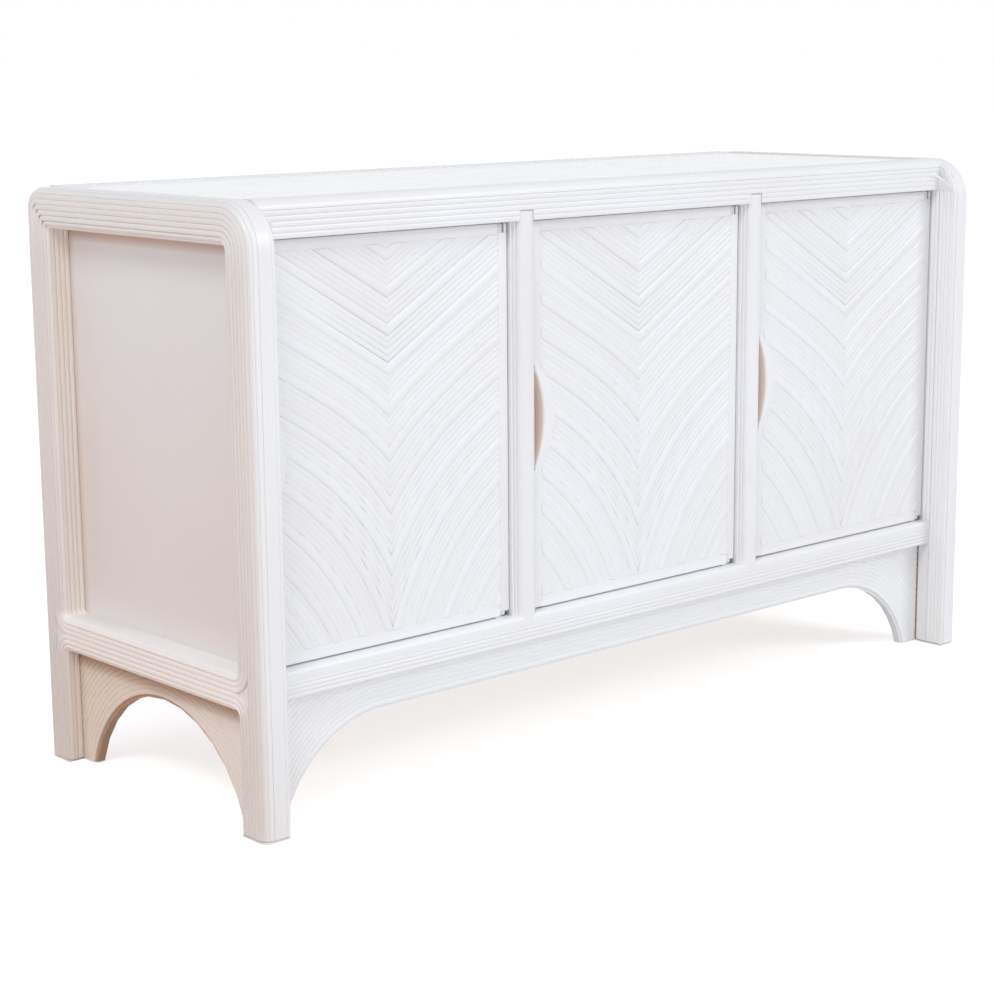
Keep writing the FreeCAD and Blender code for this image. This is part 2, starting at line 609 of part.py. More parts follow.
def door_parts():
    left = -DOOR_HALF
    slab = box(left, DOOR_HALF, SLAB_FRONT, SLAB_BACK, DOOR_BOTTOM, DOOR_TOP)
    inner = arc_through(SCOOP_HALF, SCOOP_DEPTH, 10, left, SCOOP_CENTRE_Z)
    outer = arc_through(LIP_HALF, LIP_REACH, 10, left, SCOOP_CENTRE_Z)
    scoop = extrude_y(inner[::-1] + [(left - 5, inner[0][1]), (left - 5, inner[-1][1])],
                      DOOR_FRONT - 20, SLAB_BACK + 5)
    lip_block = extrude_y(outer[::-1] + [(left - 5, outer[0][1]), (left - 5, outer[-1][1])],
                          DOOR_FRONT - 20, SLAB_FRONT)
    notches = []
    leaves = []
    for low in (True, False):
        height = LOW_NOTCH_HEIGHT if low else NOTCH_HEIGHT
        z0 = DOOR_BOTTOM if low else DOOR_TOP - height
        z1 = z0 + height
        notches.append(box(DOOR_HALF - NOTCH_WIDTH, DOOR_HALF + 5, DOOR_FRONT - 5,
                           DOOR_FRONT + NOTCH_DEPTH, z0 - (5 if low else 0), z1 + (0 if low else 5)))
        seat = z1 if low else z0
        away = -1 if low else 1
        px = DOOR_HALF - PIVOT_INSET
        py = DOOR_FRONT + PIVOT_DEPTH
        far = seat + away * (height - 0.5)
        plate = box(DOOR_HALF - NOTCH_WIDTH, DOOR_HALF - 0.5, DOOR_FRONT, DOOR_FRONT + NOTCH_DEPTH,
                    min(seat, seat + away * LEAF), max(seat, seat + away * LEAF))
        round_off = [(px + KNUCKLE_R * math.cos(math.pi * (k + 0.5) / 4),
                      py + KNUCKLE_R * math.sin(math.pi * (k + 0.5) / 4)) for k in range(8)]
        knuckle = extrude_z(round_off, min(far, seat), max(far, seat))
        bore = Part.makeCylinder(PIN_R + PIN_CLEAR, height + 4, V(px, py, z0 - 2))
        leaves.append(plate.fuse(knuckle).removeSplitter().cut(bore))
    panel = slab.cut(scoop).cut(notches[0]).cut(notches[1])
    # borders
    strips = []
    face = [(a, b) for a, b in reed_ring(0.0, BORDER_SIDE - REED_GAP, SLAB_FRONT, DOOR_FRONT)]
    for sign in (-1, 1):
        ring = [(sign * (DOOR_HALF - a), y) for a, y in face]
        strips.append(extrude_z(ring, DOOR_BOTTOM, DOOR_TOP))
    ring = [(y, FIELD_TOP + REED_GAP + z) for z, y in
            reed_ring(0.0, BORDER_TOP - REED_GAP, SLAB_FRONT, DOOR_FRONT)]
    strips.append(extrude_x(ring, -FIELD_X, FIELD_X))
    ring = [(y, DOOR_BOTTOM + z) for z, y in
            reed_ring(0.0, BORDER_BOTTOM - REED_GAP, SLAB_FRONT, DOOR_FRONT)]
    strips.append(extrude_x(ring, -FIELD_X, FIELD_X))
    border = []
    for i, strip in enumerate(strips):
        if i == 0:
            strip = strip.cut(lip_block)
        if i == 1:
            strip = strip.cut(notches[0]).cut(notches[1])
        if i > 1:
            strip = strip.cut(notches[3 - i])
        border += strip.Solids
    # chevron reeds, mirrored about the centre line and fitted round the pull
    half = chevron_half()
    reeds = list(half)
    for reed in half:
        other = reed.mirror(V(0, 0, 0), V(1, 0, 0))
        bb = other.BoundBox
        if bb.XMin < left + LIP_REACH and bb.ZMax > SCOOP_CENTRE_Z - LIP_HALF \
                and bb.ZMin < SCOOP_CENTRE_Z + LIP_HALF:
            other = other.cut(lip_block)
        reeds += [s for s in other.Solids if s.Volume > 8.0]
    # raised lip round the finger scoop
    sections = []
    for (xi, zi), (xo, zo) in zip(inner, outer):
        section = []
        for f, y in ((0.0, SLAB_FRONT), (0.0, DOOR_FRONT - 2.0), (0.3, DOOR_FRONT - LIP_PROUD),
                     (0.65, DOOR_FRONT - LIP_PROUD + 0.5), (0.93, DOOR_FRONT - 1.0), (1.0, SLAB_FRONT)):
            section.append(V(xi + (xo - xi) * f, y, zi + (zo - zi) * f))
        sections.append(section)
    lip = sweep(sections)
    strike = box(left + 12, left + 42, SLAB_BACK, SLAB_BACK + STRIKE, DOOR_TOP - 16, DOOR_TOP - 2)
    return {"panel": [panel], "border": border, "reeds": reeds, "pull": [lip],
            "hinge_leaves": leaves, "strike": [strike]}


# ---------------------------------------------------------------- build: ends
for name, side in SIDES:
    save(name + "_front_post", hoop_piece(side, FRONT_POST_RING, [FRONT_FOOT] + FRONT_BEND[:3]))
    save(name + "_rear_post", hoop_piece(side, PLAIN_RING, REAR_BEND[1:] + [REAR_FOOT]))
    save(name + "_end_top_rail", hoop_piece(side, PLAIN_RING, FRONT_BEND[2:] + REAR_BEND[:2]))
    x0, x1 = sorted((side * INNER_X, side * (HALF_W - REED_THICK)))
    save(name + "_end_bottom_rail",
         box(x0, x1, -END_INNER_Y, END_INNER_Y, END_RAIL_UNDERSIDE, BOTTOM_RAIL_TOP))
    save(name + "_end_reeds", end_reeds(side))
    face = HALF_W - END_PANEL_RECESS
    outline = [place(station, POST_DEPTH) for station in FRONT_BEND]
    outline += [(END_INNER_Y, HEIGHT - POST_DEPTH), (END_INNER_Y, BOTTOM_RAIL_TOP),
                (-END_INNER_Y, BOTTOM_RAIL_TOP)]
    save(name + "_end_panel", extrude_x(outline, side * (face - END_PANEL_THICK), side * face))
    board, reeds = end_apron(side)
    save(name + "_end_apron", board)
    save(name + "_end_apron_reeds", reeds)

pads = []
for sx in (-1, 1):
    for sy in (-1, 1):
        x0, x1 = sorted((sx * (INNER_X + 2), sx * (HALF_W - 2)))
        y0, y1 = sorted((sy * (END_INNER_Y + 2), sy * (HALF_D - 2)))
        pad = box(x0, x1, y0, y1, 0.0, FOOT_PAD)
        edges = [e for e in pad.Edges if abs(e.Vertexes[0].X - e.Vertexes[-1].X) < 1e-6
                 and abs(e.Vertexes[0].Y - e.Vertexes[-1].Y) < 1e-6
                 and abs(e.Vertexes[0].X) > HALF_W - 5 and abs(e.Vertexes[0].Y) > HALF_D - 5]
        pads.append(pad.makeChamfer(7.0, edges))
save("foot_pads", pads)

# ---------------------------------------------------------------- build: front, top, carcass
core, reeds = front_top_rail()
save("front_top_rail", core)
save("front_top_rail_reeds", reeds)
core, reeds = front_bottom_rail()
save("front_bottom_rail", core)
save("front_bottom_rail_reeds", reeds)
core, reeds = front_apron()
save("front_apron", core)
save("front_apron_reeds", reeds)

mullion_x = (BAY + MULLION_WIDTH) / 2
all_reeds = []
for name, sign in SIDES:
    core, reeds = mullion(sign * mullion_x)
    save("mullion_" + name, core)
    all_reeds += reeds
save("mullion_reeds", all_reeds)

panel_front = RAIL_FRONT + TOP_PANEL_FRONT
panel_back = REAR_RAIL_FRONT + 10
save("top_panel", box(-INNER_X, INNER_X, panel_front, panel_back, PANEL_UNDERSIDE, PANEL_TOP))
rear_ring = [(REAR_RAIL_FRONT, TOP_RAIL_UNDERSIDE), (BACK_FACE, TOP_RAIL_UNDERSIDE),
             (BACK_FACE, TOP_CORE), (panel_back, TOP_CORE), (panel_back, PANEL_UNDERSIDE),
             (REAR_RAIL_FRONT, PANEL_UNDERSIDE)]
rear = extrude_x(rear_ring, -INNER_X, INNER_X)
save("rear_top_rail", rear)
rear_reeds = []
pitch = (BACK_FACE - panel_back) / 4
for i in range(4):
    y0 = panel_back + i * pitch
    ring = reed_ring(y0, y0 + pitch - REED_GAP, TOP_CORE, HEIGHT)
    rear_reeds.append(extrude_x(ring, -INNER_X, INNER_X))
save("rear_top_rail_reeds", rear_reeds)

board_low = BOTTOM_RAIL_TOP - BOARD_THICK
save("bottom_board", box(-INNER_X, INNER_X, RAIL_BACK, BACK_FACE, board_low, BOTTOM_RAIL_TOP))
save("rear_bottom_rail", box(-INNER_X, INNER_X, REAR_RAIL_FRONT, BACK_FACE,
                             END_RAIL_UNDERSIDE, board_low))
back_y = BACK_FACE - BACK_RECESS
save("back_panel", box(-INNER_X, INNER_X, back_y - BACK_THICK, back_y,
                       BOTTOM_RAIL_TOP, TOP_RAIL_UNDERSIDE))

part_ring = [(RAIL_BACK, BOTTOM_RAIL_TOP), (back_y - BACK_THICK, BOTTOM_RAIL_TOP),
             (back_y - BACK_THICK, TOP_RAIL_UNDERSIDE), (REAR_RAIL_FRONT, TOP_RAIL_UNDERSIDE),
             (REAR_RAIL_FRONT, PANEL_UNDERSIDE), (RAIL_BACK, PANEL_UNDERSIDE)]
half_part = PARTITION_THICK / 2
for name, sign in SIDES:
    cx = sign * mullion_x
    save("partition_" + name, extrude_x(part_ring, cx - half_part, cx + half_part))

end_wall = HALF_W - END_PANEL_RECESS - END_PANEL_THICK
shelf_low = SHELF_TOP - SHELF_THICK
shelf_front = RAIL_BACK + SHELF_FRONT_GAP
cleats = []
for name, cx in BAYS:
    left_wall = -end_wall if name == "left" else cx - BAY / 2 - MULLION_WIDTH / 2 + half_part
    right_wall = end_wall if name == "right" else cx + BAY / 2 + MULLION_WIDTH / 2 - half_part
    save("shelf_" + name, box(left_wall + 0.2, right_wall - 0.2, shelf_front, END_INNER_Y - 2,
                              shelf_low, SHELF_TOP))
    for x0, x1 in ((left_wall, left_wall + CLEAT), (right_wall - CLEAT, right_wall)):
        cleats.append(box(x0, x1, shelf_front + 10, END_INNER_Y - 10, shelf_low - CLEAT, shelf_low))
save("shelf_cleats", cleats)

# ---------------------------------------------------------------- build: doors and hinges
parts = door_parts()
frame_hinges = []
catches = []
for name, cx in BAYS:
    for piece, solids in parts.items():
        moved = []
        for solid in solids:
            copy = solid.copy()
            copy.translate(V(cx, 0, 0))
            moved.append(copy)
        save("door_" + name + "_" + piece, moved)
    px = cx + DOOR_HALF - PIVOT_INSET
    py = DOOR_FRONT + PIVOT_DEPTH
    for low in (True, False):
        seat = BOTTOM_RAIL_TOP if low else TOP_RAIL_UNDERSIDE
        away = 1 if low else -1
        gap, height = (DOOR_BOTTOM_GAP, LOW_NOTCH_HEIGHT) if low else (DOOR_TOP_GAP, NOTCH_HEIGHT)
        z0, z1 = sorted((seat, seat + away * HINGE_PLATE))
        plate = box(px - 14, cx + DOOR_HALF + 1.0, DOOR_FRONT + 1, DOOR_FRONT + NOTCH_DEPTH, z0, z1)
        tip = seat + away * (gap + height - 1.0)
        pin = Part.makeCylinder(PIN_R, abs(tip - seat), V(px, py, min(tip, seat)))
        frame_hinges.append(plate.fuse(pin).removeSplitter())
    left = cx - DOOR_HALF
    catches.append(box(left + 12, left + 42, SLAB_BACK + STRIKE + CATCH_GAP, RAIL_BACK - 2,
                       TOP_RAIL_UNDERSIDE - 14, TOP_RAIL_UNDERSIDE))
save("hinge_frame_plates", frame_hinges)
save("door_catches", catches)
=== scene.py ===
import json
import random
from math import acos, asin, cos, pi, radians, sin, sqrt

import bmesh
import bpy
from mathutils import Matrix, Vector
from mathutils.geometry import intersect_line_sphere


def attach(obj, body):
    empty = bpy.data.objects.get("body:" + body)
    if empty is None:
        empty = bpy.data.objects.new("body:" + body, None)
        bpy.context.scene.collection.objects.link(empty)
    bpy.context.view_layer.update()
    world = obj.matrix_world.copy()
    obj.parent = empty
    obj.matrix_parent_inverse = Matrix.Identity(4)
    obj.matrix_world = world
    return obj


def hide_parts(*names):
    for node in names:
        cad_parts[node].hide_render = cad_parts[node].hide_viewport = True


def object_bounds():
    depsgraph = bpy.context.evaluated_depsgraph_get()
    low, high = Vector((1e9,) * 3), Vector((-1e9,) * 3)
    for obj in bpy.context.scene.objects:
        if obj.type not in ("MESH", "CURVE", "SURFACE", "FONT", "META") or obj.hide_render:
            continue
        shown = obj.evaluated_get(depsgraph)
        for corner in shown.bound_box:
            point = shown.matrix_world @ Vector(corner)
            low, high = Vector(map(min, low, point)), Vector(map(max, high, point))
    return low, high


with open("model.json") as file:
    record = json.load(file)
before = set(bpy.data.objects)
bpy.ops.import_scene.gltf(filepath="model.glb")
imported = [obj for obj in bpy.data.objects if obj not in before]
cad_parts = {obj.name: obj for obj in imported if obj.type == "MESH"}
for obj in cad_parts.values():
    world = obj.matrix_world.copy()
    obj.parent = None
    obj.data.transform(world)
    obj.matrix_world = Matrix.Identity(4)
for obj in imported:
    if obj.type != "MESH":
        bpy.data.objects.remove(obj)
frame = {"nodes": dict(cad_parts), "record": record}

SCENE = bpy.context.scene
CAD_BOX = [list(corner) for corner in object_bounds()]
dice = random.Random(31)

# ---------------- sizes, mm
MM = 0.001
HALF_W, HALF_D, HEIGHT = (round(edge / MM, 1) for edge in CAD_BOX[1])
POST_WIDTH, POST_DEPTH = 40.0, 50.0
INNER_X = HALF_W - POST_WIDTH  # the posts' inner faces
CORNER_R, FRONT_BEND, REAR_BEND = 15.0, 60.0, 30.0
LEAST_BEND, LEAST_LOOP_BEND = 10.0, 8.0  # the tightest rear bends of hoops and of loops
FOOT = 4.0
REED, PITCH = 3.5, 7.0  # thickness of a reed, and reed to reed
INNER_REED = 2.5  # reeds inside an end frame's openings
PANEL_RECESS, APRON_RECESS = 36.0, 23.0  # end face to the end panel and to the end apron
RAIL_FRONT, RAIL_BACK, REAR_RAIL_FRONT, TOP_RAIL = -222.0, -165.0, 225.0, 739.0
RAIL_BASE = RAIL_FRONT + REED
TOP_EDGE_R, TOP_RAIL_DEPTH, REAR_REEDS_DEPTH = 13.0, 32.0, 25.0
BOTTOM_RAIL_TOP, LEDGE_LOW, BOTTOM_RAIL_LOW = 205.0, 190.0, 168.0
LEDGE_R = 7.0
END_RAIL_LOW = 163.0
MULLION_X, BEAD_WIDTH, BEAD_HEIGHT, BEAD_LOW, BEAD_TOP = 227.0, 29.0, 13.0, 197.0, 752.0
SLATS = ((15.8, 3.0, 7.0), (19.0, 4.0, 10.5))  # off the mullion's middle, width, behind the rail's front
FRONT_ARCH_X, FRONT_ARCH_R, FRONT_CROWN = 468.0, 165.6, 118.5
END_ARCH_R, END_CROWN = 181.0, 128.5
FRONT_APRON_SET, APRON_PITCH, APRON_EDGE = 22.0, 6.5, 4.0
DOOR_FRONT, SLAB_FRONT, SLAB_BACK = -207.0, -203.5, -184.0
DOOR_HALF, DOOR_LOW, DOOR_TOP = 203.5, 207.5, 736.8
BORDER, BEVEL = 15.0, 0.7
FIELD_X, FIELD_LOW, FIELD_TOP = 188.5, 223.0, 722.0
REED_SLOPE, STEEPEST, RIB_PERIOD, RIB_SHARES, RIB_EDGE = 0.577, 3.0, 40.0, (2, 1, 1, 1, 1), 481.0
RIB_THICK, DOOR_REED = 4.2, 3.0
SCOOP_Z, SCOOP_HALF, SCOOP_DEPTH = 472.0, 65.0, 17.0
LIP_HALF, LIP_REACH = 79.0, 39.0
DOORS = (("left", -454.0), ("middle", 0.0), ("right", 454.0))
PIN_INSET, PIN_Y, PIN_R, KNUCKLE_R, LEAF = 10.0, -201.5, 2.0, 5.0, 2.0
# the door's end, its knuckle, the rail beyond and the way inward
HINGES = ((DOOR_LOW, 6.0, BOTTOM_RAIL_TOP, 1), (DOOR_TOP, 12.0, TOP_RAIL, -1))
SLOT_OF = {entry["node"]: entry["material_slot"] for entry in frame["record"]["subparts"]}
SIDES = (("left", -1), ("right", 1))
TO_FRONT, UP = Vector((0, -1, 0)), Vector((0, 0, 1))


# ---------------- shader nodes
NODE_STEP = 200
EVEN = (1, 1, 1)


def node(tree, kind, **values):
    """A new shader node, to the right of the ones before it."""
    made = tree.nodes.new(kind)
    made.location = (NODE_STEP * len(tree.nodes), 0)
    for key, value in values.items():
        setattr(made, key, value)
    return made


def feed(socket, value):
    """Give a socket a constant or a link. A colour of three numbers is opaque."""
    if isinstance(value, tuple):
        socket.default_value = (*value, 1) if socket.type == "RGBA" else value
    elif isinstance(value, (int, float)):
        socket.default_value = value
    else:
        socket.id_data.links.new(value, socket)


def maths(operation, *values, clamp=False):
    """An operation on sockets and constants, at least one of them a socket."""
    tree = next(value.id_data for value in values if hasattr(value, "id_data"))
    made = node(tree, "ShaderNodeMath", operation=operation, use_clamp=clamp)
    for socket, value in zip(made.inputs, values):
        feed(socket, value)
    return made.outputs[0]


def times(first, second, clamp=False):
    return maths("MULTIPLY", first, second, clamp=clamp)


def spread(value, low, high, out_low=0.0, out_high=1.0):
    """The range from low to high, clamped and changed to the range from out_low to out_high."""
    made = node(value.id_data, "ShaderNodeMapRange", clamp=True)
    for socket, given in zip(made.inputs, (value, low, high, out_low, out_high)):
        feed(socket, given)
    return made.outputs["Result"]


def blend_colours(amount, first, second, kind="MIX"):
    made = node(amount.id_data, "ShaderNodeMix", data_type="RGBA", blend_type=kind)
    for index, value in ((0, amount), (6, first), (7, second)):
        feed(made.inputs[index], value)
    return made.outputs[2]


def noise(vector, scale, stretch, detail, roughness):
    mapping = node(vector.id_data, "ShaderNodeMapping")
    made = node(vector.id_data, "ShaderNodeTexNoise")
    for socket, value in ((mapping.inputs["Vector"], vector), (mapping.inputs["Scale"], stretch),
                          (made.inputs["Vector"], mapping.outputs[0]), (made.inputs["Scale"], scale),
                          (made.inputs["Detail"], detail), (made.inputs["Roughness"], roughness)):
        feed(socket, value)
    return made.outputs["Fac"]


def axes(vector):
    split = node(vector.id_data, "ShaderNodeSeparateXYZ")
    feed(split.inputs[0], vector)
    return split.outputs


def new_group(name, inputs, outputs):
    """An empty shader group with sockets of the given names and kinds."""
    tree = bpy.data.node_groups.new(name, "ShaderNodeTree")
    for way, sockets in (("INPUT", inputs), ("OUTPUT", outputs)):
        for label, kind in sockets.items():
            tree.interface.new_socket(label, in_out=way, socket_type="NodeSocket" + kind)
    return tree, node(tree, "NodeGroupInput").outputs, node(tree, "NodeGroupOutput").inputs


def use_group(group, **values):
    """A group with its inputs set; the first value is a socket."""
    made = node(next(iter(values.values())).id_data, "ShaderNodeGroup", node_tree=group)
    for label, value in values.items():
        feed(made.inputs[label], value)
    return made.outputs


def build_wash_group():
    """Paint drift and thin spots of a white wash over cane: colour, roughness, height."""
    tree, ins, outs = new_group(
        "white_wash",
        {"Vector": "Vector", "Paint": "Color", "Warm": "Color", "Drift": "Float", "Thin": "Float"},
        {"Color": "Color", "Rough": "Float", "Height": "Float"})
    vector = ins["Vector"]
    drift = spread(noise(vector, 3.2, EVEN, 2.0, 0.5), 0.35, 0.7)
    cloud = spread(noise(vector, 17.0, EVEN, 3.0, 0.6), 0.42, 0.72)
    speck = spread(noise(vector, 260.0, EVEN, 2.0, 0.6), 0.70, 0.80)
    fine = noise(vector, 900.0, EVEN, 2.0, 0.6)
    colour = blend_colours(times(drift, ins["Drift"]), ins["Paint"], ins["Warm"])
    thin = times(times(cloud, speck), ins["Thin"])
    feed(outs["Color"], blend_colours(thin, colour, RAW_CANE))
    feed(outs["Rough"], maths("ADD", times(cloud, 0.10), times(fine, 0.06)))
    feed(outs["Height"], maths("ADD", times(fine, 0.3), times(cloud, 0.7)))
    return tree


def build_cane_group():
    """Split cane: fibres and lumps along its length, a mask for dust and painted shade in the grooves, and a
    tone for each reed.
    """
    tree, ins, outs = new_group(
        "split_cane", {"Reed": "Vector", "Groove": "Float"},
        {"Groove mask": "Float", "Tone": "Float", "Fibre": "Float", "Height": "Float"})
    along, across, tone = axes(ins["Reed"])
    place = node(tree, "ShaderNodeCombineXYZ")
    for socket, value, scale in zip(place.inputs, (along, across, tone), (0.001, 0.007, 7.31)):
        feed(socket, times(value, scale))
    vector = place.outputs[0]
    side = times(maths("ABSOLUTE", across), 2.0)
    ragged = maths("SUBTRACT", noise(vector, 60.0, (1, 3, 1), 2.0, 0.5), 0.5)
    edge = maths("ADD", side, times(ragged, 0.25))
    feed(outs["Groove mask"], times(spread(edge, 0.66, 1.04), ins["Groove"], clamp=True))
    feed(outs["Tone"], maths("FRACT", times(tone, 3.77)))
    fibre = noise(vector, 420.0, (0.06, 3.0, 1), 3.0, 0.6)
    lumps = noise(vector, 34.0, (1, 4, 1), 2.0, 0.5)
    feed(outs["Fibre"], fibre)
    feed(outs["Height"], maths("ADD", times(fibre, 0.35), times(lumps, 0.65)))
    return tree


RAW_CANE = (0.62, 0.50, 0.38)
WASH = build_wash_group()
CANE = build_cane_group()


# ---------------- materials
def start_material(name, roughness, metallic=0.0, coat=0.0, coat_rough=0.15, specular=0.5):
    """A new material, its shader's inputs and the Object coordinates."""
    mat = bpy.data.materials.new(name)
    mat.use_nodes = True
    sockets = mat.node_tree.nodes["Principled BSDF"].inputs
    for label, value in (("Metallic", metallic), ("Roughness", roughness), ("Coat Weight", coat),
                         ("Coat Roughness", coat_rough), ("Specular IOR Level", specular)):
        feed(sockets[label], value)
    return mat, sockets, node(mat.node_tree, "ShaderNodeTexCoord").outputs["Object"]


def add_bump(sockets, height, strength, distance):
    bump = node(height.id_data, "ShaderNodeBump")
    for label, value in (("Height", height), ("Strength", strength), ("Distance", distance)):
        feed(bump.inputs[label], value)
    feed(sockets["Normal"], bump.outputs[0])


def shade_end_faces(place, groove, colour):
    """Painted light and shade on the end faces, at places in metres: darker on the posts, painted light on the
    bottom rails, and brown painted shade in the grooves of the top rails."""
    x, y, z = axes(place)
    end_face = spread(maths("ABSOLUTE", x), 0.6905, 0.6985)
    off_rail = maths("ABSOLUTE", maths("SUBTRACT", z, 0.186))
    between_posts = spread(maths("ABSOLUTE", y), 0.198, 0.225, 1.0, 0.0)
    bottom_rail = times(spread(off_rail, 0.022, 0.032, 1.0, 0.0), between_posts)
    post = times(times(end_face, spread(z, 0.70, 0.75, 1.0, 0.3)), maths("SUBTRACT", 1.0, bottom_rail))
    colour = blend_colours(post, colour, (0.90, 0.895, 0.885), "MULTIPLY")
    # painted light on the bottom rails
    colour = blend_colours(bottom_rail, colour, (1.115, 1.125, 1.13), "MULTIPLY")
    top_rail = times(end_face, spread(z, 0.728, 0.738))
    # painted brown shade in the grooves of the top rails
    painted_groove_shade = times(times(groove, 2.0, clamp=True), top_rail)
    return blend_colours(times(painted_groove_shade, 0.75), colour, (0.42, 0.35, 0.30))


def add_tint(mat, axis, low, high, amount, tint):
    """Blend the paint towards a tint along an axis: none at low, the full amount at high (m)."""
    tree = mat.node_tree
    base = tree.nodes["Principled BSDF"].inputs["Base Color"]
    place = axes(node(tree, "ShaderNodeTexCoord").outputs["Object"])
    mask = spread(place[axis], low, high, 0.0, amount)
    feed(base, blend_colours(mask, base.links[0].from_socket, tint))


def reed_material(name, paint, warm, dust_and_groove_shade, groove, rough, drift, shaded):
    """White-washed split reed; groove is how much dust and painted shade its grooves hold."""
    mat, sockets, place = start_material(name, rough, coat=0.12, coat_rough=0.25)
    wash = use_group(WASH, Vector=place, Paint=paint, Warm=warm, Drift=drift, Thin=0.5)
    reed = node(mat.node_tree, "ShaderNodeAttribute", attribute_name="reed").outputs["Vector"]
    cane = use_group(CANE, Reed=reed, Groove=groove)
    colour = blend_colours(times(cane["Tone"], 0.30), wash["Color"], warm)
    colour = blend_colours(spread(cane["Fibre"], 0.55, 0.85, 0.0, 0.20), colour, dust_and_groove_shade)
    # dust and painted shade in the grooves
    colour = blend_colours(cane["Groove mask"], colour, dust_and_groove_shade)
    if shaded:
        colour = shade_end_faces(place, cane["Groove mask"], colour)
    feed(sockets["Base Color"], colour)
    feed(sockets["Roughness"], maths("ADD", wash["Rough"], rough))
    add_bump(sockets, cane["Height"], 0.35, 0.0006)
    return mat


def board_material(name, paint, warm, rough, drift, thin, grain_axis, grain=0.12, coat=0.1, bump=0.12):
    """Painted board: a trace of grain under the paint."""
    mat, sockets, place = start_material(name, rough, coat=coat, coat_rough=0.12)
    wash = use_group(WASH, Vector=place, Paint=paint, Warm=warm, Drift=drift, Thin=thin)
    stretch = tuple(0.35 if axis == grain_axis else 7.0 for axis in range(3))
    lines = noise(place, 22.0, stretch, 5.0, 0.65)
    veins = spread(lines, 0.48, 0.75, 0.0, grain)
    feed(sockets["Base Color"], blend_colours(veins, wash["Color"], warm))
    feed(sockets["Roughness"], maths("ADD", wash["Rough"], rough))
    add_bump(sockets, maths("ADD", times(wash["Height"], 0.5), lines), bump, 0.0005)
    return mat


def wood_material(name, wood, dark, thin, grain_axis, grain):
    """Bare board: strong grain, no coat."""
    return board_material(name, wood, dark, 0.5, 0.6, thin, grain_axis, grain, 0.0, 0.2)


def metal_material(name, paint, rough, metallic):
    mat, sockets, place = start_material(name, rough, metallic=metallic)
    worn = spread(noise(place, 420.0, EVEN, 4.0, 0.6), 0.45, 0.8)
    feed(sockets["Base Color"], blend_colours(worn, paint, tuple(c * 0.72 for c in paint)))
    feed(sockets["Roughness"], spread(worn, 0, 1, rough, rough + 0.2))
    add_bump(sockets, worn, 0.1, 0.0003)
    return mat


PAINT = (0.865, 0.872, 0.890)
WARM = (0.80, 0.765, 0.735)
REED_FINISHES = {        # paint, warm, dust and painted groove shade, how much of it the grooves hold, roughness, drift, painted light and shade on the end faces
    "reed": (PAINT, WARM, (0.66, 0.62, 0.59), 0.45, 0.34, 0.35, True),
    # the next four are copies with painted light and shade: paler on the posts' inner faces and the front
    # apron, browner on the end aprons and inside the end openings
    "reed_with_painted_light": ((0.935, 0.93, 0.93), (0.90, 0.88, 0.86), (0.66, 0.62, 0.59), 0.5, 0.34, 0.25, False),
    "apron_reed": ((0.92, 0.925, 0.94), (0.87, 0.85, 0.83), (0.72, 0.70, 0.68), 0.35, 0.36, 0.25, True),
    "end_apron_reed": ((0.89, 0.855, 0.80), (0.85, 0.77, 0.68), (0.46, 0.35, 0.26), 0.75, 0.4, 0.5, True),
    "recess_reed_with_painted_shade": ((0.88, 0.845, 0.80), (0.80, 0.72, 0.63), (0.48, 0.38, 0.28), 0.6, 0.4, 0.6, True),
    "door_reed": (PAINT, WARM, (0.70, 0.69, 0.70), 0.4, 0.36, 0.25, True),
}
MAT = {name: reed_material("whitewashed_" + name, *finish) for name, finish in REED_FINISHES.items()}
MAT.update({
    "white_board": board_material("white_board_paint", PAINT, WARM, 0.34, 0.35, 0.3, 0),
    # paler than the rest of the paint: painted light on the ledges of the end frames
    "ledge": board_material("ledge_paint_with_painted_light", (0.985, 0.98, 0.975), (0.96, 0.95, 0.94), 0.3, 0.3, 0.1, 1, 0.05),
    "end_veneer": board_material(
        "end_panel_paint", (0.79, 0.785, 0.80), (0.77, 0.74, 0.735), 0.36, 0.6, 0.2, 2, 0.2),
    # darker than the rest of the paint: painted shade against the light from above
    "top_lacquer": board_material(
        "top_lacquer_with_painted_shade", (0.84, 0.85, 0.875), (0.815, 0.82, 0.835), 0.16, 0.3, 0.05, 0, 0.02, 0.35, 0.01),
    "inner_board": wood_material("inside_ply", (0.66, 0.55, 0.43), (0.56, 0.43, 0.31), 0.2, 0, 0.6),
    # bare board edge of the end aprons, its dark brown partly painted shade under the arches
    "bare_edge_and_painted_shade": wood_material("bare_apron_board_and_painted_shade", (0.58, 0.40, 0.29), (0.45, 0.29, 0.19), 0.2, 2, 0.5),
    "scoop_wall": wood_material("bare_cane_edge", (0.95, 0.80, 0.69), (0.86, 0.64, 0.51), 0.5, 2, 0.5),
    "scoop_rim": board_material(
        "thin_paint_on_rim", (0.92, 0.84, 0.79), (0.88, 0.76, 0.69), 0.4, 0.5, 0.3, 2),
    "white_metal": metal_material("white_enamel_metal", (0.80, 0.80, 0.80), 0.35, 0.0),
    "steel": metal_material("zinc_plate", (0.60, 0.60, 0.62), 0.32, 1.0),
    "catch_plastic": metal_material("catch_moulding", (0.82, 0.80, 0.76), 0.5, 0.0),
    "foot_plastic": board_material("foot_cap_paint", (0.86, 0.85, 0.83), WARM, 0.4, 0.4, 0.2, 0),
})
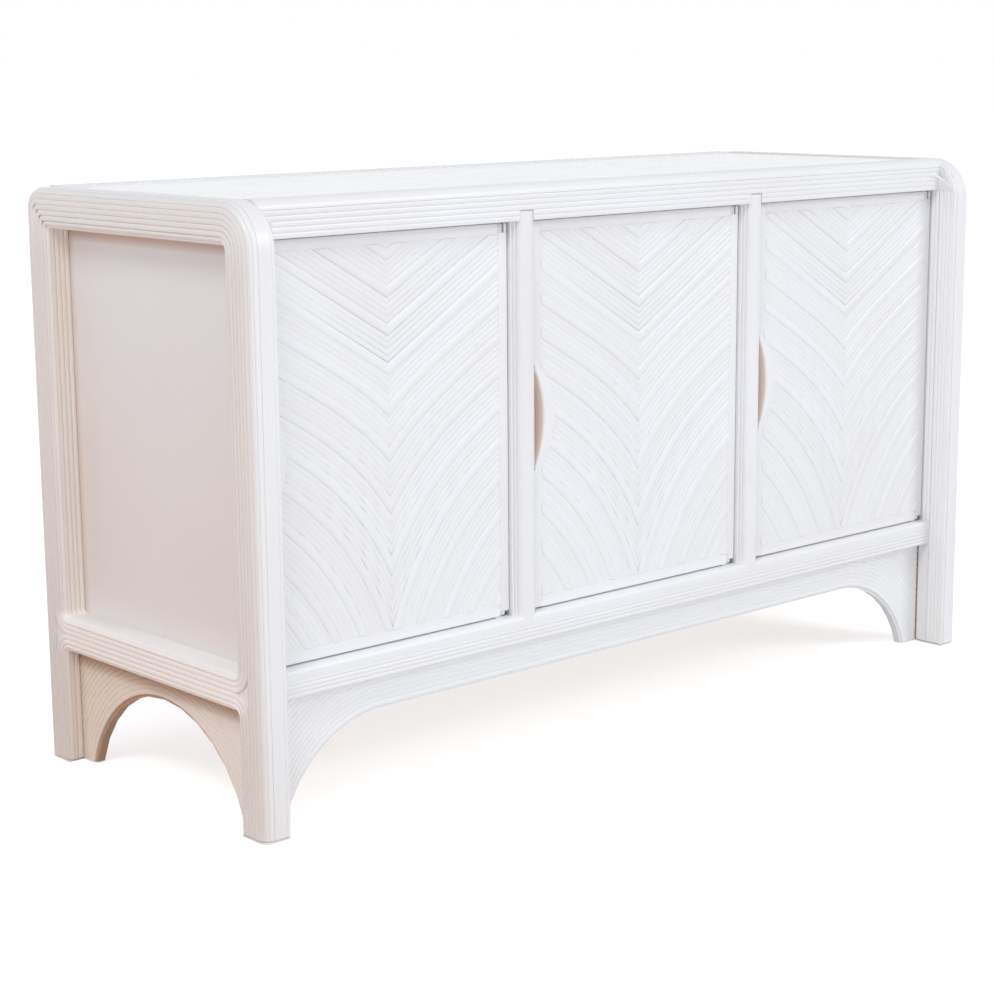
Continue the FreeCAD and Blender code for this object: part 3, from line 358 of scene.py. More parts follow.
# painted light and shade: the panel is cooler towards its top, the end apron's warm shade greyer towards the
# front, and both get painted brown shade by the rear post and under the rail above them
for tinted, *tint in (
        ("end_veneer", "Z", 0.45, 0.70, 0.8, (0.81, 0.835, 0.87)),
        ("end_veneer", "Y", 0.187, 0.203, 0.45, (0.60, 0.42, 0.34)),
        ("end_veneer", "Z", 0.7155, 0.7265, 0.85, (0.55, 0.38, 0.31)),
        ("end_apron_reed", "Y", 0.0, -0.19, 0.7, (0.86, 0.85, 0.84)),
        ("end_apron_reed", "Y", 0.187, 0.203, 0.4, (0.48, 0.31, 0.20)),
        ("end_apron_reed", "Z", 0.133, 0.150, 0.92, (0.42, 0.27, 0.18))):
    add_tint(MAT[tinted], *tint)


# ---------------- making pieces
def new_mesh():
    """An empty bmesh whose points carry the reed attribute: along in mm, across from -0.5 to 0.5, tone."""
    made = bmesh.new()
    made.verts.layers.float_vector.new("reed")
    return made


def place_object(name, data):
    """An object of the scene; data is a bmesh, a lamp or a camera."""
    if isinstance(data, bmesh.types.BMesh):
        mesh = bpy.data.meshes.new(name)
        data.to_mesh(mesh)
        data.free()
        data = mesh
    made = bpy.data.objects.new(name, data)
    SCENE.collection.objects.link(made)
    return made


def finish_piece(name, mesh_bm, material, replaced, body="cabinet", sharp=50):
    """Turn a bmesh in mm into a piece in metres with the given finish, and hide the CAD node that it stands
    for.
    """
    bmesh.ops.scale(mesh_bm, vec=(MM, MM, MM), verts=mesh_bm.verts[:])
    piece = place_object(name, mesh_bm)
    for polygon in piece.data.polygons:
        polygon.use_smooth = True
    piece.data.set_sharp_from_angle(angle=radians(sharp))
    piece.data.materials.append(MAT[material])
    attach(piece, body)
    if replaced:
        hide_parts(replaced)
    return piece


def add_mesh(target, part):
    """Join one small bmesh onto another."""
    scratch = bpy.data.meshes.new("scratch")
    part.to_mesh(scratch)
    part.free()
    target.from_mesh(scratch)
    bpy.data.meshes.remove(scratch)


def reed_frame(centre, along, up, width, height):
    """Matrix that stands the unit section at a point of the reed's path."""
    along = along.normalized()
    across = along.cross(up).normalized()
    rise = across.cross(along).normalized()
    place = Matrix.Identity(4)
    for row in range(3):
        place[row] = (across[row] * width, rise[row] * height, along[row], centre[row])
    return place


def course(points, i, closed):
    """Way of a path at one of its points, from the point before it to the one after it."""
    before = points[i - 1] if (closed or i) else points[i]
    after = points[(i + 1) % len(points)] if (closed or i < len(points) - 1) else points[i]
    return after - before


def path_frames(points, ups, width, height, closed=False):
    """Frames of a reed along its path. ups and width are each a list or one value for every point."""
    frames = []
    for i, point in enumerate(points):
        up = ups[i] if isinstance(ups, list) else ups
        wide = width[i] if isinstance(width, list) else width
        frames.append(reed_frame(point, course(points, i, closed), up, wide, height))
    return frames


def lay_reed(target, frames, steps=6, cuts=(), closed=False, shoulder=0.62, fill=0.0):
    """Sweep one reed through its frames, trim it at the cutting planes and add it to target.

    fill narrows the dust and painted shade at its edges, as paint filling the grooves beside it would.
    fill is how far the paint has filled the grooves beside it."""
    reed = bmesh.new()
    layer = reed.verts.layers.float_vector.new("reed")
    bmesh.ops.create_circle(reed, cap_ends=False, segments=2 * steps, radius=0.5)
    bmesh.ops.bisect_plane(reed, geom=reed.verts[:] + reed.edges[:], dist=1e-5, plane_co=(0, 0, 0),
                           plane_no=(0, 1, 0), clear_inner=True)
    bmesh.ops.scale(reed, vec=(1, 2 * (1 - shoulder), 1), verts=reed.verts[:])
    feet = bmesh.ops.extrude_vert_indiv(reed, verts=[v for v in reed.verts if v.co.y < 1e-4])["verts"]
    bmesh.ops.translate(reed, vec=(0, shoulder, 0), verts=[v for v in reed.verts if v not in feet])
    bmesh.ops.contextual_create(reed, geom=feet)
    tone = dice.random() * 50 + 1
    length = dice.random() * 900
    for vert in reed.verts:
        vert[layer] = (length, vert.co.x * (1 - fill), tone)
    first = ring = reed.edges[:]
    bmesh.ops.transform(reed, matrix=frames[0], verts=reed.verts[:])
    if not closed:
        bmesh.ops.contextual_create(reed, geom=ring)
    for one, two in zip(frames, frames[1:]):
        made = bmesh.ops.extrude_edge_only(reed, edges=ring)["geom"]
        fresh = {g for g in made if isinstance(g, bmesh.types.BMVert)}
        ring = [g for g in made if isinstance(g, bmesh.types.BMEdge) and fresh.issuperset(g.verts)]
        bmesh.ops.transform(reed, matrix=two @ one.inverted(), verts=list(fresh))
        length += (two.translation - one.translation).length
        for vert in fresh:
            vert[layer].x = length
    if closed:
        bmesh.ops.bridge_loops(reed, edges=first + ring)
    else:
        bmesh.ops.contextual_create(reed, geom=ring)
    for point, normal in cuts:
        cut = bmesh.ops.bisect_plane(reed, geom=reed.verts[:] + reed.edges[:] + reed.faces[:], dist=1e-4,
                                     plane_co=point, plane_no=normal, clear_outer=True)["geom_cut"]
        edges = [g for g in cut if isinstance(g, bmesh.types.BMEdge)]
        if edges and reed.faces:
            bmesh.ops.holes_fill(reed, edges=[e for e in edges if e.is_boundary], sides=0)
    if reed.faces:
        bmesh.ops.recalc_face_normals(reed, faces=reed.faces[:])
        add_mesh(target, reed)
    else:
        reed.free()


def straight_reed(target, start, end, up, width, height, steps=6, shoulder=0.62, fill=0.0):
    frames = path_frames([Vector(start), Vector(end)], up, width, height)
    lay_reed(target, frames, steps, shoulder=shoulder, fill=fill)


def soft_block(target, low, high, radius, segments=2, pick=None):
    """A block with rounded edges; pick(edge) chooses which edges are rounded."""
    block = new_mesh()
    low, high = Vector(low), Vector(high)
    bmesh.ops.create_cube(block, size=1.0)
    bmesh.ops.scale(block, vec=high - low, verts=block.verts[:])
    bmesh.ops.translate(block, vec=(low + high) / 2, verts=block.verts[:])
    round_off(block, [e for e in block.edges if pick is None or pick(e)], radius, segments)
    layer = block.verts.layers.float_vector["reed"]
    for vert in block.verts:
        vert[layer] = (vert.co.x + vert.co.z, 0.0, 5.5)
    add_mesh(target, block)


def round_off(mesh_bm, edges, radius, segments):
    bmesh.ops.bevel(mesh_bm, geom=edges, offset=radius, offset_type="OFFSET", affect="EDGES",
                    segments=segments, profile=0.5, material=-1)


def rounded(corners, closed=False):
    """Path through right-angled corners (a, b, radius), each turned on its own radius."""
    steps = 10
    points = []
    for i, (a, b, radius) in enumerate(corners):
        here = Vector((a, b))
        if not closed and i in (0, len(corners) - 1):
            points.append(here)
            continue
        back = (Vector(corners[i - 1][:2]) - here).normalized()
        on = (Vector(corners[(i + 1) % len(corners)][:2]) - here).normalized()
        centre = here + (back + on) * radius
        for k in range(steps + 1):
            turn = pi / 2 * k / steps
            points.append(centre - on * radius * cos(turn) - back * radius * sin(turn))
    return points


# ---------------- end frames
def hoop_corners(depth):
    """Foot to foot over the top, at a depth below the frame's outer surface."""
    y, top = HALF_D - depth, HEIGHT - depth
    return [(-y, FOOT, 0), (-y, top, FRONT_BEND - depth), (y, top, max(REAR_BEND - depth, LEAST_BEND)),
            (y, FOOT, 0)]


def panel_loop(depth):
    """Closed path round the end panel, at a depth below the frame's outer surface."""
    y, top, radius = HALF_D - depth, HEIGHT - depth, FRONT_BEND - depth
    low = BOTTOM_RAIL_TOP - (POST_DEPTH - depth)
    rear = max(REAR_BEND - depth, LEAST_LOOP_BEND)
    return rounded([(-y, low, radius), (-y, top, radius), (y, top, rear), (y, low, radius)], True)


def arch_loop(depth):
    """Path up one leg, under the bottom rail and down the other leg."""
    y, bend, radius = HALF_D - depth, END_RAIL_LOW + (POST_DEPTH - depth), FRONT_BEND - depth
    return rounded([(-y, FOOT, 0), (-y, bend, radius), (y, bend, radius), (y, FOOT, 0)])


def end_path(side, inset, path, tilt, closed):
    """Points and outward directions of a reed on an end frame; tilt turns it from the end face."""
    points = [Vector((side * (HALF_W - inset), y, z)) for y, z in path]
    ups = []
    for i in range(len(path)):
        run = course(path, i, closed).normalized()
        ups.append(Vector((side * cos(tilt), -run.y * sin(tilt), run.x * sin(tilt))))
    return points, ups


def wrap_end(name, side):
    reeds = new_mesh()
    inward = Vector((-side, 0, 0))

    def lay(path, inset, width, height, tilt=0, closed=False, shoulder=0.62, fill=0.0):
        points, ups = end_path(side, inset, path, radians(tilt), closed)
        lay_reed(reeds, path_frames(points, ups, width, height, closed), 6, (), closed, shoulder, fill)

    # on the end face from foot to foot over the top
    loop_outer = POST_DEPTH - 3 * PITCH
    depth = CORNER_R + PITCH / 2
    while depth < loop_outer:
        lay(rounded(hoop_corners(depth)), REED, PITCH, REED, shoulder=0.72, fill=0.35)
        depth += PITCH
    # round the long corner
    base = CORNER_R - REED - 0.5
    for tilt in (15, 45, 75):
        across, out = base * sin(radians(tilt)), base * cos(radians(tilt))
        lay(rounded(hoop_corners(CORNER_R - across)), CORNER_R - out, 7.4, REED + 0.4, tilt, shoulder=0.66,
            fill=0.2)
    # across the front, the top and the rear
    pitch = (POST_WIDTH - CORNER_R) / 4
    for i in range(4):
        lay(rounded(hoop_corners(REED)), CORNER_R + (i + 0.5) * pitch, pitch, REED, 90,
            shoulder=0.97 if i < 3 else 0.5, fill=0.8)
    # inner face of the front post, in front of the rails, up to the last points of its bend
    pitch = (HALF_D + RAIL_FRONT - REED) / 4
    last_point = 9
    for i in range(4):
        path = rounded(hoop_corners(REED + (i + 0.5) * pitch))[:last_point]
        points = [Vector((side * (INNER_X + REED), y, z)) for y, z in path]
        lay_reed(reeds, path_frames(points, inward, pitch, REED), shoulder=0.66, fill=0.3)
    # the same face behind the rails' front, in the door's bay
    for y in (RAIL_FRONT + 3.6, RAIL_FRONT + 10.6):
        foot, top = (side * INNER_X, y, BOTTOM_RAIL_TOP), (side * INNER_X, y, TOP_RAIL)
        straight_reed(reeds, foot, top, inward, 6.8, 1.6, shoulder=0.4, fill=0.3)
    # loops round the end panel and ones that turn down over the arch: two on the face, two round the arris
    middle = POST_DEPTH - PITCH / 2 + INNER_REED / 2
    for depth, inset, width, height, tilt, shoulder, fill in (
            (loop_outer + PITCH / 2, REED, PITCH, REED, 0, 0.66, 0.2),
            (loop_outer + PITCH * 1.5, REED, PITCH, REED, 0, 0.66, 0.2),
            (middle - 1.9, REED - 0.2, 6.0, 3.0, -22, 0.3, 0.3),
            (middle + 2.2, REED + 2.6, 6.0, 2.6, -54, 0.3, 0.3)):
        lay(panel_loop(depth), inset, width, height, tilt, True, shoulder, fill)
        lay(arch_loop(depth), inset, width, height, tilt, False, shoulder, fill)
    # inside the openings, back to the panel and to the apron
    for path, recess, closed in ((panel_loop(POST_DEPTH), PANEL_RECESS, True),
                                 (arch_loop(POST_DEPTH), APRON_RECESS, False)):
        count = int((recess - PITCH) / PITCH)
        pitch = (recess - PITCH) / count
        for i in range(count):
            lay(path, PITCH + (i + 0.5) * pitch, pitch, INNER_REED, -90, closed, 0.5, 0.2)
    # plain ledge along the foot of the end panel
    x0, x1 = sorted((side * (HALF_W - PITCH + 1), side * (HALF_W - PANEL_RECESS - 1.5)))
    half = HALF_D - POST_DEPTH - INNER_REED
    soft_block(reeds, (x0, -half, BOTTOM_RAIL_TOP), (x1, half, BOTTOM_RAIL_TOP + INNER_REED + 0.5), 0.4)
    piece = finish_piece("end_reeds_" + name, reeds, "reed", name + "_end_reeds")
    paint_end_light_and_shade(piece, side)


def paint_end_light_and_shade(piece, side):
    """Painted brown shade inside the openings, and painted light on the posts' inner faces and on the ledge.
    """
    for material in ("recess_reed_with_painted_shade", "reed_with_painted_light", "ledge"):
        piece.data.materials.append(MAT[material])
    half = HALF_D - POST_DEPTH
    for face in piece.data.polygons:
        x, y, z = face.center / MM
        in_opening = HALF_W - abs(x) > PITCH and abs(y) < half + 2
        on_ledge = BOTTOM_RAIL_TOP + INNER_REED < z < BOTTOM_RAIL_TOP + 5 and abs(y) < half - 1
        if in_opening and (BOTTOM_RAIL_TOP + 4 < z < HEIGHT - POST_DEPTH + 3 or z < END_RAIL_LOW + 1):
            face.material_index = 1
        elif on_ledge and face.normal.z > 0.8:
            face.material_index = 3
        elif side * face.normal.x < -0.5 and y < RAIL_BACK:
            face.material_index = 2


for side_name, side_sign in SIDES:
    wrap_end(side_name, side_sign)


# ---------------- rails and mullions
def rail_spans(beside_doors):
    """Lengths of a top rail's reed: the mullions' beads run over the two that are next to the doors."""
    if not beside_doors:
        return [(-INNER_X, INNER_X)]
    gap = 12.5
    return [(-INNER_X, -MULLION_X - gap), (-MULLION_X + gap, MULLION_X - gap), (MULLION_X + gap, INNER_X)]


def turn_down(rail, z, step, width):
    """A reed of the top rail turning down onto the inner face of each post."""
    radius = z - TOP_RAIL + 0.5
    back = -6.9 * (step + 1)
    steps = 8
    for side in (-1, 1):
        points, ups, widths = [], [], []
        for k in range(steps + 1):
            a = pi / 2 * k / steps
            widths.append(width * (1.03 - 0.18 * sin(2 * a)))
            points.append(Vector((side * (INNER_X - radius + (radius + REED - 0.4) * sin(a) ** 0.9),
                                  RAIL_BASE - 0.4 + back * (1 - cos(a)), z - radius * (1 - cos(a)))))
            ups.append(Vector((-side * sin(a), -cos(a), 0)))
        lay_reed(rail, path_frames(points, ups, widths, REED), shoulder=0.7, fill=0.2)


def dress_top_rail():
    rail = new_mesh()
    edge_y, edge_z = RAIL_FRONT + TOP_EDGE_R, HEIGHT - TOP_EDGE_R
    pitch = (edge_z - TOP_RAIL) / 5
    for i in range(5):
        z = TOP_RAIL + (i + 0.5) * pitch
        for x0, x1 in rail_spans(i < 2):
            straight_reed(rail, (x0, RAIL_BASE, z), (x1, RAIL_BASE, z), TO_FRONT, pitch, REED, shoulder=0.76,
                          fill=0.3)
        if i < 4:
            turn_down(rail, z, i, pitch)
    soft_block(rail, (-INNER_X - 3.2, RAIL_FRONT, edge_z + 0.1), (INNER_X + 3.2, edge_y + 1.0, HEIGHT),
               TOP_EDGE_R - 0.6, 10,
               lambda e: all(v.co.y < RAIL_FRONT + 0.5 and v.co.z > HEIGHT - 0.5 for v in e.verts))
    pitch = (RAIL_FRONT + TOP_RAIL_DEPTH - edge_y - 1) / 3
    lay_flat(rail, edge_y + 1, pitch, 3, 0.9)
    finish_piece("top_rail_reeds", rail, "reed", "front_top_rail_reeds")


def lay_flat(rail, first_y, pitch, count, fill):
    """Reeds along the cabinet's top, side by side behind first_y."""
    for i in range(count):
        y = first_y + (i + 0.5) * pitch
        straight_reed(rail, (-INNER_X, y, HEIGHT - REED), (INNER_X, y, HEIGHT - REED), UP, pitch, REED,
                      shoulder=0.97, fill=fill)


def dress_rear_rail():
    rail = new_mesh()
    lay_flat(rail, REAR_RAIL_FRONT, REAR_REEDS_DEPTH / 4, 4, 1.0)
    finish_piece("rear_rail_reeds", rail, "reed", "rear_top_rail_reeds")


def dress_bottom_rail():
    rail = new_mesh()
    pitch = (LEDGE_LOW - BOTTOM_RAIL_LOW) / 4
    for i in range(4):
        z = BOTTOM_RAIL_LOW + (i + 0.5) * pitch
        straight_reed(rail, (-INNER_X, RAIL_BASE, z), (INNER_X, RAIL_BASE, z), TO_FRONT, pitch, REED,
                      shoulder=0.7, fill=0.2)
    finish_piece("bottom_rail_reeds", rail, "reed", "front_bottom_rail_reeds")
    board = new_mesh()
    soft_block(board, (-INNER_X, RAIL_BASE, BOTTOM_RAIL_LOW), (INNER_X, RAIL_BACK, LEDGE_LOW), 0.4, 1)
    soft_block(board, (-INNER_X, RAIL_FRONT, LEDGE_LOW), (INNER_X, RAIL_BACK, BOTTOM_RAIL_TOP), LEDGE_R, 8,
               lambda e: all(v.co.y < RAIL_FRONT + 1 and v.co.z > LEDGE_LOW + 1 for v in e.verts))
    finish_piece("bottom_rail_board", board, "white_board", "front_bottom_rail")


def dress_mullions():
    slats = new_mesh()
    base = DOOR_FRONT - 3.0
    for cx in (-MULLION_X, MULLION_X):
        foot, top = (cx, base, BEAD_LOW), (cx, base, BEAD_TOP)
        straight_reed(slats, foot, top, TO_FRONT, BEAD_WIDTH, BEAD_HEIGHT, 12, 0.4, 0.9)
        for offset, width, behind in SLATS:
            for x in (cx - offset, cx + offset):
                straight_reed(slats, (x, base, BOTTOM_RAIL_TOP), (x, base, TOP_RAIL), TO_FRONT, width,
                              base - RAIL_FRONT - behind, shoulder=0.84, fill=0.6)
    finish_piece("mullion_slats", slats, "reed", "mullion_reeds")


dress_top_rail()
dress_rear_rail()
dress_bottom_rail()
dress_mullions()


# ---------------- aprons
def arc_points(cx, cz, radius, first, last, count, plane):
    """Points of an arc measured from straight up; plane(x, z) puts them in space."""
    points = []
    for i in range(count + 1):
        a = first + (last - first) * i / count
        points.append(plane(cx + radius * sin(a), cz + radius * cos(a)))
    return points


def below_rail(radius, rise, lap):
    """Angle at which a reed comes out from under the rail, which is rise above the arch's centre."""
    near = radius - APRON_EDGE
    return max(0.0, acos(rise / near) - lap) if near > rise else 0.0


def apron_cuts(top, axis, limit):
    """Planes that end an apron's reeds: the rail above, near the floor, and the posts on the given axis."""
    post = Vector((0, 0, 0))
    post[axis] = 1
    return [((0, 0, top), UP), ((0, 0, 2.0), -UP), (post * limit, post), (-post * limit, -post)]


def dress_front_apron():
    reeds = new_mesh()
    cz, base, reach = FRONT_CROWN - FRONT_ARCH_R, RAIL_FRONT + FRONT_APRON_SET + REED, radians(88)
    rise = BOTTOM_RAIL_LOW - cz
    cuts = apron_cuts(BOTTOM_RAIL_LOW, 0, INNER_X)

    def lay(points):
        frames = path_frames(points, TO_FRONT, APRON_PITCH, REED)
        lay_reed(reeds, frames, cuts=cuts, shoulder=0.75, fill=0.4)

    radius = FRONT_ARCH_R + APRON_EDGE + 3.2
    while radius < FRONT_ARCH_R + 124:
        under_rail = radius < rise - 3.4
        start = 0.0 if under_rail else below_rail(radius, rise, 0.04)
        right = arc_points(FRONT_ARCH_X, cz, radius, start, reach, 14 if under_rail else 12,
                           lambda x, z: Vector((x, base, z)))
        left = [Vector((-p.x, p.y, p.z)) for p in right]
        if under_rail:
            lay(left[::-1] + right)
        else:
            lay(left)
            lay(right)
        radius += APRON_PITCH
    finish_piece("front_apron_cane", reeds, "apron_reed", "front_apron_reeds")


def dress_end_apron(name, side):
    reeds = new_mesh()
    cz, x, reach = END_CROWN - END_ARCH_R, side * (HALF_W - APRON_RECESS - REED), radians(80)
    rise = END_RAIL_LOW - cz
    cuts = apron_cuts(END_RAIL_LOW, 1, HALF_D - POST_DEPTH)

    def lay(radius, first, last, count):
        points = arc_points(0, cz, radius, first, last, count, lambda y, z: Vector((x, y, z)))
        frames = path_frames(points, Vector((side, 0, 0)), PITCH, REED)
        lay_reed(reeds, frames, cuts=cuts, shoulder=0.75, fill=0.3)

    radius = END_ARCH_R + APRON_EDGE + PITCH / 2
    while radius < END_ARCH_R + 116:
        if radius < rise - 3.6:
            lay(radius, -reach, reach, 26)
        else:
            start = below_rail(radius, rise, 0.03)
            lay(radius, -start, -reach, 10)
            lay(radius, start, reach, 10)
        radius += PITCH
    finish_piece("end_apron_cane_" + name, reeds, "end_apron_reed", name + "_end_apron_reeds")


dress_front_apron()
for side_name, side_sign in SIDES:
    dress_end_apron(side_name, side_sign)


# ---------------- doors
def slope(x, z):
    """Rise of a door reed per mm outward: straight above, ever steeper towards the door's foot."""
    below = max(0.0, 728.0 - z - 0.926 * x)
    return min(STEEPEST, REED_SLOPE + 1.4e-6 * below ** 2.281)


def rib_steps():
    """Reed edges at the field's side, lowest first: one broad reed, then four narrow ones."""
    unit = RIB_PERIOD / sum(RIB_SHARES)
    edge = RIB_EDGE
    while edge > FIELD_LOW - 2.0:
        edge -= RIB_PERIOD * sqrt(1 + slope(FIELD_X, edge - RIB_PERIOD / 2) ** 2)
    found = []
    while edge < FIELD_TOP + REED_SLOPE * FIELD_X:
        for share in RIB_SHARES:
            low = edge
            edge += unit * share * sqrt(1 + slope(FIELD_X, edge) ** 2)
            found.append((low, edge, share > 1))
    return found


def reed_line(edge_z):
    """A reed's edge from the field's side to the middle of the door."""
    steps = 47
    points = [(FIELD_X, edge_z)]
    dx = FIELD_X / steps
    x, z = FIELD_X, edge_z
    for i in range(steps):
        grade = slope(x - dx / 2, z - slope(x, z) * dx / 2)
        x -= dx
        z -= grade * dx
        points.append((x, z))
    return points


def at_x(line, x):
    for (xa, za), (xb, zb) in zip(line, line[1:]):
        if xb <= x <= xa:
            return za + (zb - za) * (xa - x) / (xa - xb)
    end = line[0] if x > line[0][0] else line[-1]
    return end[1] + (x - end[0]) * slope(*end)


def at_z(line, z):
    for (xa, za), (xb, zb) in zip(line, line[1:]):
        if zb <= z <= za:
            return xa + (xb - xa) * (za - z) / (za - zb)
    return 0.0


def reed_reach(previous, line):
    """How far a door reed runs from the middle, with a little over at both ends for the trim."""
    over, foot = 8.0, FIELD_LOW - 8.0
    low_x = -12.0 if line[-1][1] > foot else at_z(line, foot) - 4
    high_x = FIELD_X + over
    if previous[0][1] > FIELD_TOP:
        high_x = min(high_x, at_z(previous, FIELD_TOP) + over)
    return low_x, high_x


def reed_course(previous, line, low_x, high_x):
    """Middle line (x, z) of a door reed and its width at each point."""
    fall = at_x(line, high_x) - at_x(line, low_x)
    bent = fall > REED_SLOPE * (high_x - low_x) * 1.06
    count = 8 if bent else 1
    middle, widths = [], []
    for i in range(count + 1):
        x = low_x + (high_x - low_x) * (i / count) ** (1.4 if bent else 1)
        low, high = at_x(previous, x), at_x(line, x)
        grade = slope(max(x, 0), (low + high) / 2)
        middle.append((x, (low + high) / 2))
        widths.append(max(1.0, (high - low) / sqrt(1 + grade * grade)))
    return middle, widths


def lip_cut(points):
    """Plane that ends a reed at the lip round the scoop, or nothing for a reed that passes it."""
    lip_radius = (LIP_HALF ** 2 + LIP_REACH ** 2) / (2 * LIP_REACH)
    centre, under_lip = Vector((-DOOR_HALF + LIP_REACH - lip_radius, SLAB_FRONT, SCOOP_Z)), lip_radius - 3
    for outside, inside in zip(points, points[1:]):
        if (inside - centre).length < under_lip:
            crossing = next(filter(None, intersect_line_sphere(outside, inside, centre, under_lip)))
            return [(crossing, (centre - crossing).normalized())]
    return []


def lay_door_reeds(name, cx):
    reeds = new_mesh()
    for way in (1, -1):
        cuts = [((way * 0.01, 0, 0), (-way, 0, 0)), ((way * FIELD_X, 0, 0), (way, 0, 0)),
                ((0, 0, FIELD_LOW), -UP), ((0, 0, FIELD_TOP), UP)]
        for low_edge, high_edge, broad in rib_steps():
            previous, line = reed_line(low_edge), reed_line(high_edge)
            if previous[-1][1] > FIELD_TOP or line[0][1] < FIELD_LOW:
                continue
            low_x, high_x = reed_reach(previous, line)
            if high_x - low_x < 4:
                continue
            middle, widths = reed_course(previous, line, low_x, high_x)
            points = [Vector((way * x, SLAB_FRONT, z)) for x, z in middle]
            thick = RIB_THICK if broad else DOOR_REED * dice.uniform(0.94, 1.0)
            lay_reed(reeds, path_frames(points, TO_FRONT, widths, thick), 8 if broad else 4,
                     cuts + (lip_cut(points) if way < 0 else []), shoulder=0.56 if broad else 0.80, fill=0.4)
    bmesh.ops.translate(reeds, vec=(cx, 0, 0), verts=reeds.verts[:])
    body = "door_" + name
    finish_piece(body + "_cane", reeds, "door_reed", body + "_reeds", body)


def edge_door(name, cx):
    """Border strips round the door, open at the scoop and notched at the hinges."""
    body, left, right = "door_" + name, cx - DOOR_HALF, cx + DOOR_HALF
    border = new_mesh()
    scoop_low, scoop_top = SCOOP_Z - SCOOP_HALF - 1, SCOOP_Z + SCOOP_HALF + 1
    for x0, x1, z0, z1 in ((left, left + BORDER, DOOR_LOW, scoop_low),
                           (left + 9, left + BORDER, scoop_low, scoop_low + 6),
                           (left + 9, left + BORDER, scoop_top - 6, scoop_top),
                           (left, left + BORDER, scoop_top, DOOR_TOP),
                           (right - BORDER, right, DOOR_LOW + 6, DOOR_TOP - 12),
                           (left + BORDER, right - BORDER, FIELD_TOP, DOOR_TOP)):
        soft_block(border, (x0, DOOR_FRONT, z0), (x1, SLAB_FRONT, z1), BEVEL, 2,
                   lambda e: all(v.co.y < DOOR_FRONT + 0.5 for v in e.verts))
    # lipping on the hinge edge, behind the pin
    soft_block(border, (right - 0.5, DOOR_FRONT + 1.4, DOOR_LOW + 8),
               (right + 1.6, SLAB_BACK - 0.5, DOOR_TOP - 14), 0.5)
    soft_block(border, (right - 4.5, DOOR_FRONT, DOOR_TOP - 12), (right, SLAB_FRONT, DOOR_TOP), BEVEL)
    # broad half-round strip along the foot
    z = 214.8
    start, end = (left + BORDER, SLAB_FRONT, z), (right - BORDER - 0.5, SLAB_FRONT, z)
    straight_reed(border, start, end, TO_FRONT, 16.2, REED, 8, 0.7)
    finish_piece(body + "_edging", border, "door_reed", body + "_border", body)


def shallow_arc(half, depth):
    """Scoop or lip outline on the door's left edge, from its foot to its top."""
    count = 24
    radius = (half * half + depth * depth) / (2 * depth)
    cx = -DOOR_HALF + depth - radius
    top = asin(half / radius)
    return [(cx + radius * cos(-top + 2 * top * i / count),
             SCOOP_Z + radius * sin(-top + 2 * top * i / count)) for i in range(count + 1)]


def line_scoop(name, cx):
    """The scoop's wall and the raised lip, whose height changes with the share of the way out."""
    body = "door_" + name
    lip = new_mesh()
    inner = shallow_arc(SCOOP_HALF - 0.8, SCOOP_DEPTH - 0.8)
    outer = shallow_arc(LIP_HALF, LIP_REACH)
    proud = ((0.0, 1.2), (0.05, 2.8), (0.13, 3.8), (0.24, 4.1), (0.36, 3.8), (0.52, 2.8), (0.72, 1.5),
             (0.88, 0.8), (1.0, 0.4))
    profile = [(share, DOOR_FRONT - height) for share, height in proud]
    loops = []
    for share, y in [(0.0, SLAB_BACK + 0.5), *profile, (1.0, SLAB_FRONT)]:
        verts = [lip.verts.new((cx + xi + (xo - xi) * share, y, zi + (zo - zi) * share))
                 for (xi, zi), (xo, zo) in zip(inner, outer)]
        loops.append([lip.edges.new(pair) for pair in zip(verts, verts[1:])])
    for one, two in zip(loops, loops[1:] + loops[:1]):
        bmesh.ops.bridge_loops(lip, edges=one + two)
    bmesh.ops.holes_fill(lip, edges=[e for e in lip.edges if e.is_boundary], sides=0)
    bmesh.ops.recalc_face_normals(lip, faces=lip.faces[:])
    pull = finish_piece(body + "_pull_lip", lip, "door_reed", body + "_pull", body, 70)
    # bare cane on the wall between its ends, thin paint on the rim in front of it
    pull.data.materials.append(MAT["scoop_wall"])
    pull.data.materials.append(MAT["scoop_rim"])
    for polygon in pull.data.polygons:
        rise = polygon.center.z / MM - SCOOP_Z
        if polygon.normal.x <= -0.3 and -67 < rise < 61:
            polygon.material_index = 1 if polygon.center.y > (DOOR_FRONT - 1.6) * MM else 2


for door_name, door_x in DOORS:
    lay_door_reeds(door_name, door_x)
    edge_door(door_name, door_x)
    line_scoop(door_name, door_x)


# ---------------- hinges, catches and feet
def turned(target, centre, profile, sides=24):
    """Turn a profile of (radius, z) about an upright axis."""
    part = new_mesh()
    verts = [part.verts.new((centre[0] + r, centre[1], z)) for r, z in profile]
    edges = [part.edges.new(pair) for pair in zip(verts, verts[1:])]
    bmesh.ops.spin(part, geom=verts + edges, cent=(*centre, 0), axis=(0, 0, 1), angle=2 * pi, steps=sides,
                   use_merge=True)
    bmesh.ops.remove_doubles(part, verts=part.verts[:], dist=1e-4)
    bmesh.ops.recalc_face_normals(part, faces=part.faces[:])
    add_mesh(target, part)


def screw_head(target, x, y, z, up):
    """Pan head with a socket; up is +1 or -1."""
    profile = ((0, -0.2), (2.6, -0.2), (2.6, 0.3), (2.2, 0.8), (1.2, 0.9), (1.0, 0.4), (0, 0.3))
    turned(target, (x, y), [(r, z + rise * up) for r, rise in profile], 16)


